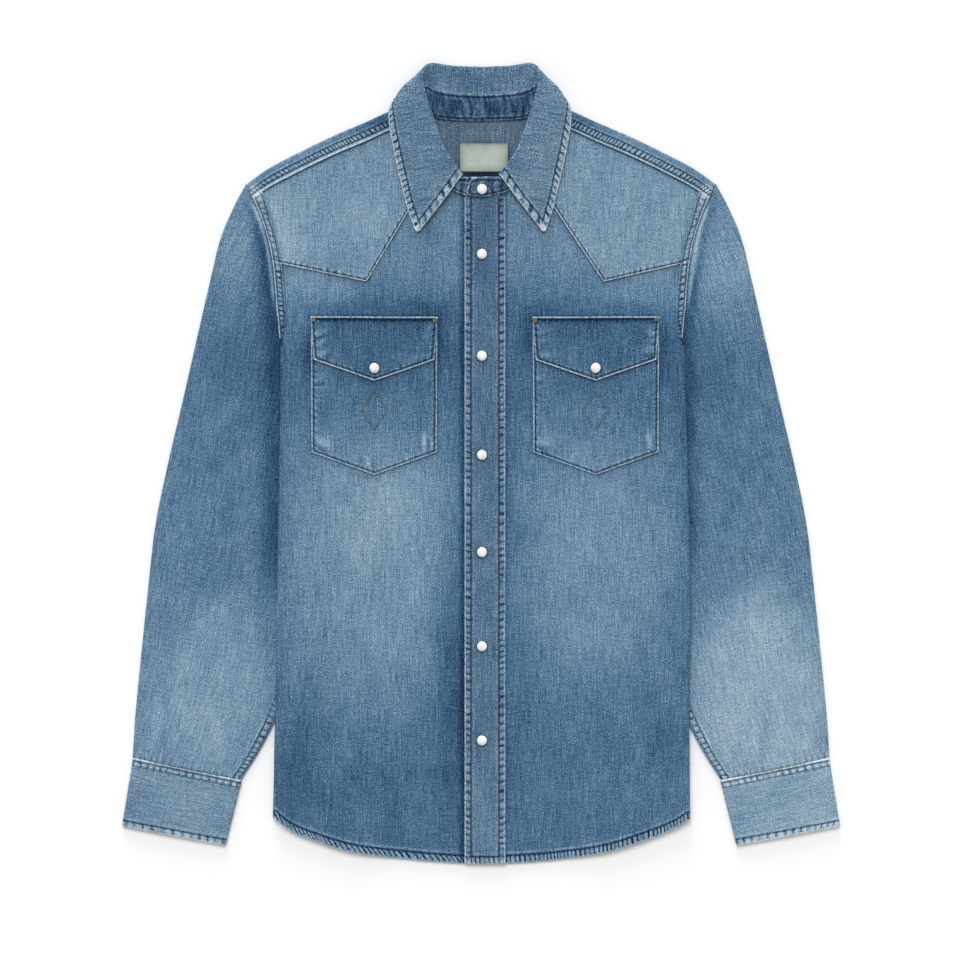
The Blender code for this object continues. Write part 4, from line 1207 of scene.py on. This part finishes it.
def make_armhole_band(name, side):
    ys = np.linspace(*ARMHOLE_BAND_Y, 180)[:, None]
    foot_y, top_y = ARMHOLE_BAND_Y
    wide = BAND_WIDTH * mix(BAND_FOOT, 1, climb(ys, foot_y, foot_y + BAND_TAPER))
    inset = wide * np.linspace(0, 1, 10)
    out = armhole_out(ys) - SEAM - inset
    y = ys - BAND_SLANT * inset
    beneath = shoulder_y(out[-1:]) - SHOULDER_BAND_DROPS[1] - BAND_GAP
    y = y + (beneath - y[-1:]) * climb(ys, top_y - BAND_STRETCH, top_y)
    step = ON_PANEL * climb(ys, *BAND_STEP_Y)
    points = grid(side * out, y, on_front_z(side * out, y) + step)
    patch = Patch(points, BAND_TONE + 6, TIP_WASH_AND_SHADE[:2], seed=7 + side)
    patch.tone -= 24 * climb(y, BAND_SHADE_Y, BAND_SHADE_Y - 60)
    patch.seam("last", 5.5, 0.1, 3, 41 + side, 0.0, 0.2, inset=1.6, fold=False)
    patch.seam("first", 5.5, 0.1, 3, 41 + side, 0.0, 0.2, inset=1.6, bright=10)
    # where the yoke's foot runs under the band: a pale ridge, and painted shadow just below it
    crossing = y - YOKE_CROSSING_Y + YOKE_CROSSING_SLOPE * inset
    patch.tone += 40 * bell(crossing, 0.9) - 55 * bell(crossing - 2.2, 1.0)
    across, along = edge_fields(points, "first")
    strength = 0.7 + 0.55 * climb(y, BAND_SHADE_Y, BAND_SHADE_Y - 20)
    patch.rungs(across, along, (1.8, 6.9), 5.6, 43 + side, strength)
    shell("armhole_band_" + name, [patch], BAND_THICK, CLOTH, "washed_denim")
    sew_rows(patch, BAND_THICK, ((olive, "first", 1.6), (olive, "last", 1.6)))


def make_placket():
    x = CENTRE_FRONT + PLACKET_WIDTH * (spaced(PLACKET_WIDTH, 1.2, 1.8, (8, 8)) - 0.5)
    y = mix(hem_y(x) - PLACKET_HEM_DROP, PLACKET_TOP_Y, np.linspace(0, 1, 460)[:, None])
    patch = Patch(grid(x, y, on_front_z(x, y)), PLACKET_TONE, PLACKET_WASH, seed=9)
    patch.seam("first", 7.2, 0.3, 8, 51, 0.15, 0.3, inset=6, pale=15, rungs=0.9)
    patch.seam("last", 7.2, 0.3, 8, 52, 0.15, 0.3, inset=6, pale=15, rungs=1.0)
    patch.seam("low", 4.8, 0.2, 8, 53, 0.1, 0.4, inset=7, pale=30, rungs=1.2)
    patch.tone -= 22 * bell(patch.across("low") - 7, 0.9)
    shell("placket", [patch], DENIM, CLOTH, "denim", inside=0.3)
    sew_rows(patch, DENIM, ((olive, "first", 6.0), (olive, "last", 6.0)))
    sew_rows(patch, DENIM, ((navy, "low", 7.0),), **HEM_THREAD)


def pointed_patch(side, shape, height, tone, table, seed):
    top_half, foot_half, top_y, corner_y, point_y = shape
    share = spaced(foot_half, 1.2, 1.9, (0, 8))
    share = np.concatenate((-share[:0:-1], share))
    t = spaced(top_y - point_y, 1.2, 2.2, (8, 8))[:, None]
    x = pocket_x(side) + share * mix(foot_half, top_half, t)
    y = mix(mix(point_y, corner_y, np.abs(share)), top_y, t)
    return Patch(grid(x, y, height(x, y)), tone, table, seed=seed, middle=pocket_x(side))


# The plain diamond stitched on each pocket: half its width and height, and its middle's height
DIAMOND = (13.0, 19.0, 54.0)
TACK_ROWS, TACK_LENGTH = 5, 4.0
# How far from a pocket's or flap's edge its row of stitches is
POCKET_ROW = 1.8
# Short creases at the corners of the pockets and flaps, from the pocket's middle. Those with no
# height and a negative paleness are painted shade lines
POCKET_CREASES = {
    "right": (
        (-60, 27, -44, 18, 1, 3, 0.2, 17), (-58, 21, -46, 11, 1, 2, 0, -12),
        (49, 31, 50, 14, 0, 2.4, 0.2, 19), (53, 28, 53, 14, 0, 1.6, 0, -14),
        (57, 27, 57, 14, 0, 2, 0.1, 12), (-8, 9, -6, -3, 0, 2.6, 0.2, 18),
        (-3, 8, -1, -5, 0, 1.8, 0, -14), (-60, 84, -49, 86, 0, 2.4, 0.15, 13),
        (-60, 79, -48, 80, 0, 1.4, 0, -13), (56, 88, 50, 80, 0, 2.4, 0.15, 8),
        (30, 12, 33, 2, 0, 2, 0.1, 10),
    ),
    "left": (
        (-59, 24, -46, 20, 1, 3, 0.2, 15), (-57, 18, -48, 10, 0, 2, 0, -12),
        (52, 33, 53, 15, 0, 2.6, 0.2, 15), (57, 28, 57, 15, 0, 1.6, 0, -12),
        (10, 6, 8, -4, 0, 2.6, 0.2, 13), (-22, 10, -26, 0, 0, 2.2, 0.15, 11),
        (-60, 85, -50, 88, 0, 2.4, 0.15, 12), (-60, 80, -49, 81, 0, 1.4, 0, -10),
        (58, 74, 50, 70, 0, 2.4, 0.15, 8),
    ),
}
FLAP_CREASES = {
    "right": (
        (-61, 128, -45, 133, 0, 2.4, 0.2, 14), (-60, 123, -49, 128, 0, 1.6, 0, -13),
        (-60, 116, -48, 124, 0, 2.2, 0.2, 13), (-58, 107, -44, 113, 0, 2.4, 0.2, 14),
        (56, 142, 53, 124, 1, 3, 0.2, 12), (53, 111, 34, 103, 0, 2.8, 0.15, 9),
    ),
    "left": (
        (-60, 131, -47, 134, 0, 2.4, 0.2, 13), (-59, 118, -49, 126, 0, 2.2, 0.2, 12),
        (-57, 109, -40, 108, 0, 2.6, 0.2, 12), (60, 128, 48, 133, 0, 2.4, 0.2, 12),
        (60, 120, 50, 121, 0, 1.8, 0, -12), (59, 113, 46, 112, 0, 2.4, 0.2, 12),
    ),
}


def diamond_line(side):
    half_x, half_y, middle_y = DIAMOND
    corners = ((0, half_y), (half_x, 0), (0, -half_y), (-half_x, 0), (0, half_y))
    return [(pocket_x(side) + over, middle_y + up) for over, up in corners]


def pocket_seams(patch, side, rows):
    """The folds along a pocket's or flap's edges: border, seed, how much paler the edge is."""
    for border, seed, bright in rows:
        patch.seam(border, 6.5, 0.25, 6, seed + side, 0.3, 0.35, inset=2.0, bright=bright,
                   rungs=0.4, over=6.5)


def sew_pocket(patch, clear):
    """One row round a pocket or flap. The sides' rows keep clear of the foot."""
    foot = {"first": POCKET_ROW, "last": POCKET_ROW}
    for border, kept in (("first", {"low": clear}), ("last", {"low": clear}), ("low", foot)):
        sew_rows(patch, DENIM, ((olive, border, POCKET_ROW, kept),))


def make_pocket(name, side):
    patch = pointed_patch(side, POCKET, on_front_z, POCKET_TONE, POCKET_WASH[name], 11 + side)
    crease(patch, POCKET_CREASES[name], weight=1.5, middle=pocket_x(side))
    shade_beside(patch, diamond_line(side), 15, 1.3)
    # painted shadow on the pocket below the flap's lower edges
    shade_beside(patch, pointed_line(side, FLAP)[2:5], 30, 2.4)
    pocket_seams(patch, side, (("first", 61, 16), ("last", 63, 16), ("low", 65, 16)))
    shell("pocket_" + name, [patch], DENIM, CLOTH, "denim")
    sew_pocket(patch, 2)
    corners = np.array(diamond_line(side))
    for start, end in zip(corners[:-1], corners[1:]):
        x, y = np.linspace(start, end, 12).T
        line = grid(x, y, on_front_z(x, y) + DENIM / 2)
        tan.sew(line, np.broadcast_to(UP, line.shape), pitch=2.5, radius=0.5, sink=0.14)


def make_flap(name, side):
    patch = pointed_patch(side, FLAP, on_pocket_z, FLAP_TONE, FLAP_WASH[name], 13 + side)
    crease(patch, FLAP_CREASES[name], weight=1.6, middle=pocket_x(side))
    borders = ("first", 71, 10), ("last", 73, 10), ("low", 75, 60), ("high", 77, 36)
    pocket_seams(patch, side, borders)
    patch.tone -= 46 * bell(patch.across("high") - 3.3, 2.2)
    shell("pocket_flap_" + name, [patch], DENIM, CLOTH, "dark_denim")
    sew_pocket(patch, POCKET_ROW)
    line, up = line_in(patch, "high", 2.0, DENIM)
    brown.sew(line, up)
    for end, over in ((line[0], 1), (line[-1], -1)):
        over *= np.sign(line[-1, 0] - line[0, 0])
        for row in range(TACK_ROWS):
            start = end + np.array((over * 0.6, 0.9 - row * 0.9, 0.1))
            tack = np.array((start, start + np.array((over * TACK_LENGTH, 0, 0))))
            gold.sew(tack, np.array((UP, UP)), pitch=TACK_LENGTH - 0.2, length=TACK_LENGTH)


# ---- sleeves and cuffs


def armhole_curve():
    seen = [(out + SEAM, y) for y, out in ARMHOLE[::-1] if y > UNDERARM_Y]
    points = np.array(seen + list(UNDERARM_CURVE), float)
    far = lengths(points)
    return points, far / far[-1]


# How many steps round each half of a tube's rounded edge
EDGE_STEPS = 4


def flat_ring(share_top, share_low, inset):
    """Shares and heights round a flattened tube: both rounded edges, upper and lower wall.

    The height is in parts: 1 for the upper wall, 0 for the lower, and between at the edges.
    """
    turn = np.linspace(0, np.pi / 2, EDGE_STEPS + 1)[:-1]
    far, near = inset * (1 - np.cos(turn)), inset * (1 - np.sin(turn[1:]))
    upper, lower = (mix(inset, 1 - inset, share) for share in (share_top, share_low[::-1]))
    share = np.concatenate((far, upper, 1 - near, (1,), 1 - far[1:], lower, near, (0,)))
    sine, cosine = 0.5 * np.sin(turn), 0.5 * np.cos(turn[1:])
    part = np.concatenate((
        0.5 + sine, np.ones(len(share_top)), 0.5 + cosine, (0.5,), 0.5 - sine[1:],
        np.zeros(len(share_low)), 0.5 - cosine, (0.5,),
    ))
    return share, part


# The painted shade on the sleeves beside the body: its foot and top, how wide and how dark it is,
# and how much the pale fold beside the armhole swells below the shoulder
SLEEVE_SHADE = {"right": (-150, 262, 18, 38, 0.25), "left": (-120, 225, 12, 29, 1.0)}
SLEEVE_CREASES = {
    "right": (
        (246, 176, 262, 120, 4, 7, 0.7, 5), (238, 60, 274, 24, -5, 8, 0.8, 5),
        (222, -60, 286, -86, 6, 9, 1, 4), (240, -128, 228, -180, 5, 8, 0.8, 8),
        (262, -118, 312, -100, -5, 8, 0.7, 3), (300, -200, 286, -272, -6, 8, 0.7, 5),
        (320, -236, 330, -290, 3, 5, 0.6, 8), (268, -250, 262, -306, 2, 5, 0.6, 8),
    ),
    "left": (
        (240, 160, 262, 100, -5, 8, 0.7, 5), (232, 40, 276, 8, 5, 8, 0.8, 4),
        (226, -76, 290, -92, -6, 9, 1, 4), (268, -136, 318, -116, 5, 8, 0.8, 3),
        (236, -150, 250, -215, 4, 9, 0.8, 5), (296, -210, 304, -286, 5, 7, 0.7, 6),
        (328, -246, 324, -288, -2, 5, 0.6, 8), (272, -256, 270, -308, -2, 5, 0.6, 8),
    ),
}
SLEEVE_COLUMNS = 62
# The ring's column at the sleeve's inner edge
INNER = 2 * EDGE_STEPS + SLEEVE_COLUMNS - 1
# The pale fold beside the armhole: its foot, where it swells, and its top
SLEEVE_FOLD_Y = (150, 205, 264)
# The seam along the sleeve's inner edge: how far in its rows of stitches are, how wide it is, its
# top, and between what heights it is sewn
SLEEVE_ROWS, SLEEVE_SEAM_EDGE, SLEEVE_SEAM_TOP_Y = (2.2, 8.0), 10.2, -195
SLEEVE_SEWN_Y = (-325, -205)


def along_tube(points, rows, side):
    """Each point's place across and along a flattened tube, whose edges the rows give."""
    middle = (rows[:, :2] + rows[:, 2:4]) / 2 * (side, 1)
    ahead = np.gradient(middle, axis=0)
    for _ in range(30):
        ahead = np.concatenate((ahead[:1], (ahead[:-2] + ahead[1:-1] + ahead[2:]) / 3, ahead[-1:]))
    ahead = unit(ahead)[:, None]
    across = np.stack((-ahead[..., 1], ahead[..., 0]), axis=-1)
    off = points[..., :2] - middle[:, None]
    along = lengths(middle)[:, None] + (off * ahead).sum(-1)
    return np.stack(((off * across).sum(-1), along), axis=-1)


def tube_line(patch, field, at, foot, top):
    """The line on a tube's upper wall where a field has a value, between two heights."""
    points, line = patch.raised(), []
    for row, far in zip(points, field[:, INNER::-1]):
        k = int(np.argmax(far > at))
        if k > 0 and foot < row[INNER, 1] < top:
            t = (at - far[k - 1]) / max(far[k] - far[k - 1], 1e-9)
            line.append(mix(row[INNER - k + 1], row[INNER - k], t) + (0, 0, DENIM / 2))
    return np.array(line), np.broadcast_to(UP, (len(line), 3))


def beside_body(side, y, gap=0.0):
    """Where the body ends, at each height."""
    return np.where(y > UNDERARM_Y, armhole_out(y), body_edge(side, y) + gap)


def make_sleeve(name, side):
    rows = flow(np.arange(len(SLEEVE)), SLEEVE, np.linspace(0, len(SLEEVE) - 1, 210))
    curve, curve_far = armhole_curve()
    points = []
    for row in rows:
        outer, inner, bend = row[:2], row[2:4], row[4]
        edge = (SLEEVE_TOP - ON_FLOOR) / 2 / np.linalg.norm(outer - inner)
        share, part = flat_ring(np.linspace(0, 1, SLEEVE_COLUMNS), np.linspace(0, 1, 16), edge)
        straight, start = (mix(ends[:2], ends[2:4], share[:, None]) for ends in (row, SLEEVE[0]))
        out, y = (straight + bend * (at_lengths(share, curve_far, curve) - start)).T
        beside = np.maximum(beside_body(1, y, FOLD_RADIUS + DENIM / 2), inner[0])
        across = np.clip((out - beside) / (outer[0] - beside), 0, 1)
        crown = SLEEVE_CROWN * np.sin(np.pi * across) * (1 - CROWN_LOST * bend)
        rise = SLEEVE_ARMHOLE_RISE * bend * climb(y, *ARMHOLE_RISE_Y)
        z = mix(ON_FLOOR, SLEEVE_TOP, part) + np.where(part >= 1, crown + rise, 0)
        points.append(grid(side * out, y, z))
    points = np.array(points)
    grain = along_tube(points, rows, side)
    patch = Patch(points, SLEEVE_TONE, SLEEVE_WASH[name], 15 + side, grain, side)
    foot, top, wide, dark, fold = SLEEVE_SHADE[name]
    y = patch.y
    off = side * patch.x - beside_body(side, y)
    # painted shade on the sleeve beside the body's edge
    dark = dark * climb(y, foot, foot + 60) * climb(y, top, top - 40)
    patch.tone -= dark * np.exp(-((off / wide) ** 2) ** 1.3)
    foot, middle, top = SLEEVE_FOLD_Y
    cap = climb(y, foot, foot + 24) * climb(y, top, top - 12)
    swell = fold * bell(y - middle, 24)
    middle, half = 2.8 + 1.6 * swell, 1.4 + 1.3 * swell
    patch.tone += cap * (68 - 18 * swell) * bell(off - middle, half)
    # painted shade in the trough beyond the pale fold
    patch.tone -= cap * 18 * bell(off - middle - half - 4, 3.6)
    upper = ease((points[..., 2] - SLEEVE_TOP + 0.3) / 0.3)
    crease(patch, SLEEVE_CREASES[name], side, upper * ease((off - 4) / 14))
    patch.seam("high", 6.0, 0.3, 5, 81 + side, 0.1, 0.7, fold=False)
    inner = lengths(points, 1)
    inner = inner[:, INNER:INNER + 1] - inner
    seam = np.where(inner >= 0, inner, FAR)
    seam = seam + FAR * climb(y, SLEEVE_SEAM_TOP_Y - 12, SLEEVE_SEAM_TOP_Y)
    along = np.broadcast_to(lengths(points[:, INNER:INNER + 1]), seam.shape)
    patch.groove = np.minimum(patch.groove, np.abs(seam - SLEEVE_ROWS[0]))
    patch.row = np.minimum(patch.row, np.abs(seam - SLEEVE_ROWS[1]))
    patch.edge = np.minimum(patch.edge, np.abs(seam - SLEEVE_SEAM_EDGE) + 0.3)
    patch.tone += 8 * np.exp(-((seam - np.mean(SLEEVE_ROWS)) / 3.4) ** 4)
    patch.rungs(seam, along, (2.2, 8.2), 5.4, 85 + side, 1.0)
    shell("sleeve_" + name, [patch], DENIM, CLOTH, "denim")
    for row in SLEEVE_ROWS:
        olive.sew(*tube_line(patch, seam, row, *SLEEVE_SEWN_Y))


# How much narrower than its solid a cuff is, at its outer and its inner edge
CUFF_TRIM = (1.5, 1.0)
# How far the inside shows on each cuff
CUFF_INSIDE = {"right": 0.15, "left": 0.0}


def make_cuff(name, side):
    low_z = DOUBLE / 2
    rows = mix(*CUFF, spaced(68, 1.3, 2.4, (8, 8))[:, None])
    points = []
    for row in rows:
        outer, inner = row[:2] - (CUFF_TRIM[0], 0), row[2:] + (CUFF_TRIM[1], 0)
        edge = (CUFF_TOP - low_z) / 2 / np.linalg.norm(outer - inner)
        share, part = flat_ring(np.linspace(0, 1, 80), np.linspace(0, 1, 40), edge)
        x, y = mix(outer, inner, share[:, None]).T
        crown = np.where(part >= 1, CUFF_CROWN * np.sin(np.pi * share), 0)
        points.append(grid(side * x, y, mix(low_z, CUFF_TOP, part) + crown))
    points = np.array(points)
    grain = along_tube(points, rows, side)[..., ::-1]
    patch = Patch(points, CUFF_TONE[name], CUFF_WASH[name], 17 + side, grain, side)
    patch.seam("high", 8.2, 0.2, 7, 91 + side, 0.2, 0.3, inset=5.6, pale=28, rungs=0.85, over=2.5)
    patch.seam("low", 8.0, 0.2, 11, 93 + side, 0.2, 0.35, inset=2.2)
    across, along = edge_fields(points, "low")
    patch.row = np.minimum(patch.row, np.abs(across - 7.2))
    patch.tone += 15 * fall(across, 7, 4)
    patch.rungs(across, along, (2.4, 7.4), 7.4, 95 + side, 0.75)
    inside = CUFF_INSIDE[name]
    shell("cuff_" + name, [patch], DOUBLE, CLOTH, "washed_denim", inside)
    rows = (olive, "low", 2.2), (tan, "low", 7.2), (brown, "high", 5.6)
    sew_rows(patch, DOUBLE, rows, ends=(0.02, 0.64))


# ---- collar


def roll_arc(tip, away, lean, steps=8):
    turn = lean + np.pi / 2 - np.pi * np.arange(steps + 1) / steps
    level, raised = np.cos(turn) - np.cos(lean), np.sin(turn) - np.sin(lean)
    return tip + ROLL_RADIUS * grid(level * np.cos(away), level * np.sin(away), raised)


def leaf_rows():
    """Across the leaf at each station of one half: from its seam, round the roll, to its hem."""
    rows = []
    for station in np.linspace(0, 9, 150):
        seam, roll, bow, edge, turns = (
            flow(np.arange(10), table, station)
            for table in (COLLAR_SEAM, COLLAR_ROLL, COLLAR_BOW, COLLAR_EDGE, COLLAR_TURNS)
        )
        path = np.array([seam, *roll_arc(roll, *np.radians(turns)), bow, edge])
        keys = lengths(path)
        rows.append(flow(keys, path, np.concatenate((
            np.linspace(keys[0], keys[1], 9)[:-1], np.linspace(keys[1], keys[-3], 9)[:-1],
            mix(keys[-3], keys[-1], spaced(60, 1.3, 1.8, (0, 10))),
        ))))
    return np.array(rows)


def whole(half):
    """Both halves, from the right front round the back to the left front."""
    return np.concatenate((half[:0:-1] * np.array((-1, 1, 1)), half))


def round_corner(points, border, radius):
    """Rounds the corner where a border of a grid meets its last column."""
    a, b = (np.maximum(radius - edge_fields(points, name)[0], 0) for name in (border, "last"))
    pull = 1 - np.maximum(a, b) / np.maximum(np.hypot(a, b), 1e-6)
    pull = np.where((a > 0) & (b > 0), pull, 0)
    along = unit(np.gradient(points, axis=0)) * {"low": 1, "high": -1}[border]
    back = -unit(np.gradient(points, axis=1))
    return points + (pull * a)[..., None] * along + (pull * b)[..., None] * back


# How round the collar's tips are, and the end of the stand's upper tab
TIP_RADIUS, TAB_RADIUS = 5.0, 11.0
# How much narrower the collar lies on its left half
LEFT_COLLAR = 0.978


def make_leaf():
    points = whole(leaf_rows())
    points[..., 0] *= mix(1, LEFT_COLLAR, climb(points[..., 0], 50, 75))
    out, y = np.abs(points[..., 0]), points[..., 1]
    # on the collar's fronts the warp runs along its edge
    front = (out > 46) & (y < 384) | (y < 345)
    turned_grain = np.stack((y + 0.16 * out + 700, out), axis=-1)
    grain = np.where(front[..., None], turned_grain, points[..., :2])
    patch = Patch(points, COLLAR_TONE, COLLAR_WASH_AND_SHADE, 21, grain)
    for border, pitch, seed in (("last", 6.8, 101), ("low", 10.0, 103), ("high", 10.0, 104)):
        patch.seam(border, pitch, 0.2, 9, seed, 0.2, 0.3, inset=COLLAR_ROW, pale=36, rungs=1.25,
                   over=2.5)
    patch.tone += 36 * fall(patch.across("first"), 0.9, 1.4)
    for border in ("low", "high"):
        patch.points = round_corner(patch.points, border, TIP_RADIUS)
    shell("collar_leaf", [patch], DOUBLE, COLLAR_CLOTH, "washed_denim", 0.2)
    front, back = {"low": 7, "high": 7}, {"last": 7}
    for border, clear in (("last", front), ("low", back), ("high", back)):
        sew_rows(patch, DOUBLE, ((brown, border, COLLAR_ROW, clear),))


def make_stand():
    stations = np.arange(0, 9.01, 1 / 3)
    neck, seam = (flow(np.arange(10), table, stations) for table in (COLLAR_NECK, COLLAR_SEAM))
    clear = 1 - STAND_CLEARANCE * ease(1 - np.abs(stations - STAND_TURN) / 2)
    clear -= FRONT_CLEARANCE * ease((stations - STAND_TURN) / 2 + 1)
    upper = mix(neck, seam, (STAND_TOP_SHARE * clear)[:, None])
    right, left = np.array(STAND_END_RIGHT[::-1]), np.array(STAND_END_LEFT)
    feet, tops = (
        np.concatenate((right[:, (0, column, 3)], whole(half), left[:, (0, column, 3)]))
        for column, half in ((1, neck), (2, upper))
    )
    keys = lengths((feet + tops) / 2)
    low, high = (at_lengths(np.linspace(0, keys[-1], 330), keys, line) for line in (feet, tops))
    points = mix(low[:, None], high[:, None], np.linspace(0, 1, 22)[:, None])
    grain = np.stack((lengths(points), lengths(points, 1)), axis=-1)
    patch = Patch(points, STAND_TONE, STAND_WASH, 23, grain)
    patch.seam("first", 8.0, 0.15, 9, 111, 0.3, 0.45, inset=1.6)
    patch.seam("last", 5.0, 0.1, 7, 112, -0.3, 0.45, inset=2.6)
    patch.seam("high", 6.0, 0.1, 6, 113, 0.0, 0.3, inset=2.2, bright=14)
    patch.points = round_corner(points, "high", TAB_RADIUS)
    shell("collar_stand", [patch], DOUBLE, STAND_CLOTH, "dark_denim", 0.3)
    sew_rows(patch, DOUBLE, ((brown, "last", 2.6), (brown, "first", 1.6), (olive, "high", 2.2)))


def make_label():
    half = np.array((LABEL["width"], LABEL["height"])) / 2
    inner = half - LABEL_CORNER
    x, y = np.meshgrid(*(side * (2 * spaced(2 * side, 0.6, 1.5, (4, 4)) - 1) for side in half))
    over = np.abs((x, y)) - inner[:, None, None]
    pull = np.minimum(1, over.max(axis=0) / np.maximum(np.hypot(*over), 1e-6))
    both_over = (over > 0).all(axis=0)
    x, y = (
        np.sign(at) * np.where(both_over, flat + past * pull, np.abs(at))
        for at, flat, past in zip((x, y), inner, over)
    )
    sag = 0.25 * np.sin(x / 9) * np.cos(y / 8)
    patch = Patch(grid(x + LABEL["x"], y + LABEL["y"], LABEL["z"] + sag), LABEL_TONE, seed=25)
    borders = ("low", "high", "first", "last")
    patch.edge = np.min([patch.across(border) for border in borders], axis=0)
    thick = LABEL["thick"]
    shell("neck_label", [patch], thick, label_cloth(), "label", bulge=0.3)


# ---- snaps

# The cap's outline, radius and height: a metal rim round a pearl dome
RIM = ((0.0, 0.0), (5.5, 0.0), (5.8, 0.25), (5.8, 0.75), (5.55, 1.05), (5.15, 1.1), (4.95, 0.95))
DOME = ((4.85, 1.3), (4.5, 1.75), (3.8, 2.25), (2.8, 2.62), (1.5, 2.84), (0.0, 2.9))
SNAP_STEPS = 40
SNAP_CLOTHS = pearl_cap(), rim_metal()


def make_snap(node, x, y, height, lift):
    outline = RIM + DOME
    reach = RIM[2][0]
    down_x = height(x - reach, y) - height(x + reach, y)
    down_y = height(x, y - reach) - height(x, y + reach)
    up = unit(np.array((down_x, down_y, 2.0 * reach)))
    over = unit(np.cross((0, 1, 0), up))
    seat = np.array((x, y, float(height(x, y)))) + up * lift
    turn = np.arange(SNAP_STEPS)[:, None] * 2 * np.pi / SNAP_STEPS
    ring = np.cos(turn) * over + np.sin(turn) * np.cross(up, over)
    points = [seat + up * outline[0][1]]
    for radius, tall in outline[1:-1]:
        points += list(seat + radius * ring + up * tall)
    points.append(seat + up * outline[-1][1])
    faces, kinds = [], []
    rings = len(outline) - 2
    for k in range(SNAP_STEPS):
        after = (k + 1) % SNAP_STEPS
        faces.append((0, 1 + after, 1 + k))
        for a in range(1, 1 + (rings - 1) * SNAP_STEPS, SNAP_STEPS):
            faces.append((a + k, a + after, a + SNAP_STEPS + after, a + SNAP_STEPS + k))
        a = 1 + (rings - 1) * SNAP_STEPS
        faces.append((a + k, a + after, len(points) - 1))
        kinds += [1] * (len(RIM) - 1) + [0] * len(DOME)
    made = add_mesh(node, points, faces, *SNAP_CLOTHS)
    made.data.polygons.foreach_set("material_index", kinds)
    wear(made, "pearl")


def make_snaps():
    on_cloth = DENIM / 2 + 2 * SEAM
    for number, y in enumerate(SNAP_HEIGHTS, start=1):
        make_snap(f"snap_placket_{number}", SNAP_X, y, on_front_z, on_cloth)
    stand_z = STAND_END_LEFT[0][3]
    make_snap("snap_stand", SNAP_X, STAND_SNAP_Y, lambda x, y: stand_z, DOUBLE / 2 + SEAM)
    for name, side in SIDES.items():
        make_snap("snap_flap_" + name, pocket_x(side), FLAP_SNAP_Y, on_pocket_z, on_cloth)


# ---- the shirt and its stage


def make_floor():
    made = Nodes("studio_paper")
    looks = {"Base Color": (0.9, 0.9, 0.9, 1), "Roughness": 0.9, "Specular IOR Level": 0.1}
    made.fill(made.shader, looks)
    corners = [(x * FLOOR_HALF, y * FLOOR_HALF, 0) for x, y in ((-1, -1), (1, -1), (1, 1), (-1, 1))]
    floor = add_mesh("floor", corners, [(0, 1, 2, 3)], made.material)
    floor.location.z = FLOOR_Z


def make_light(name, toward, spread, strength):
    """A far, broad and even light that comes from one direction."""
    light = bpy.data.lights.new(name, "SUN")
    light.angle, light.energy = spread, strength
    made = bpy.data.objects.new(name, light)
    made.location = toward
    made.rotation_euler = (-Vector(toward)).to_track_quat("-Z", "Y").to_euler()
    bpy.context.scene.collection.objects.link(made)


def make_studio():
    world = bpy.data.worlds.new("studio")
    world.use_nodes = True
    background = world.node_tree.nodes["Background"]
    background.inputs["Color"].default_value = (1, 1, 1, 1)
    background.inputs["Strength"].default_value = WORLD_STRENGTH
    make_light("key", (-0.7, 3.2, 4.4), 0.55, 1.75)
    make_light("low_light", (-0.3, 3.0, 0.6), 0.4, 1.75)
    camera = bpy.data.cameras.new("camera")
    camera.lens, camera.sensor_width = 100, 36
    made = bpy.data.objects.new("camera", camera)
    made.location = (*PHOTO_MIDDLE, PHOTO_WIDTH * camera.lens / camera.sensor_width)
    scene = bpy.context.scene
    scene.collection.objects.link(made)
    scene.world, scene.camera = world, made
    scene.view_settings.view_transform = "Standard"


for name in list(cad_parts):
    # a new piece takes the node's name, so the node's own object steps aside
    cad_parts[name].name = "cad_" + name

make_back()
make_back_yoke()
for name, side in SIDES.items():
    for make in (
        make_front, make_front_yoke, make_shoulder_band, make_armhole_band, make_pocket, make_flap,
        make_sleeve, make_cuff,
    ):
        make(name, side)
for make in (make_placket, make_stand, make_leaf, make_label, make_snaps):
    make()
for colour in (gold, olive, brown, pale, navy, tan):
    colour.finish()
make_floor()
make_studio()
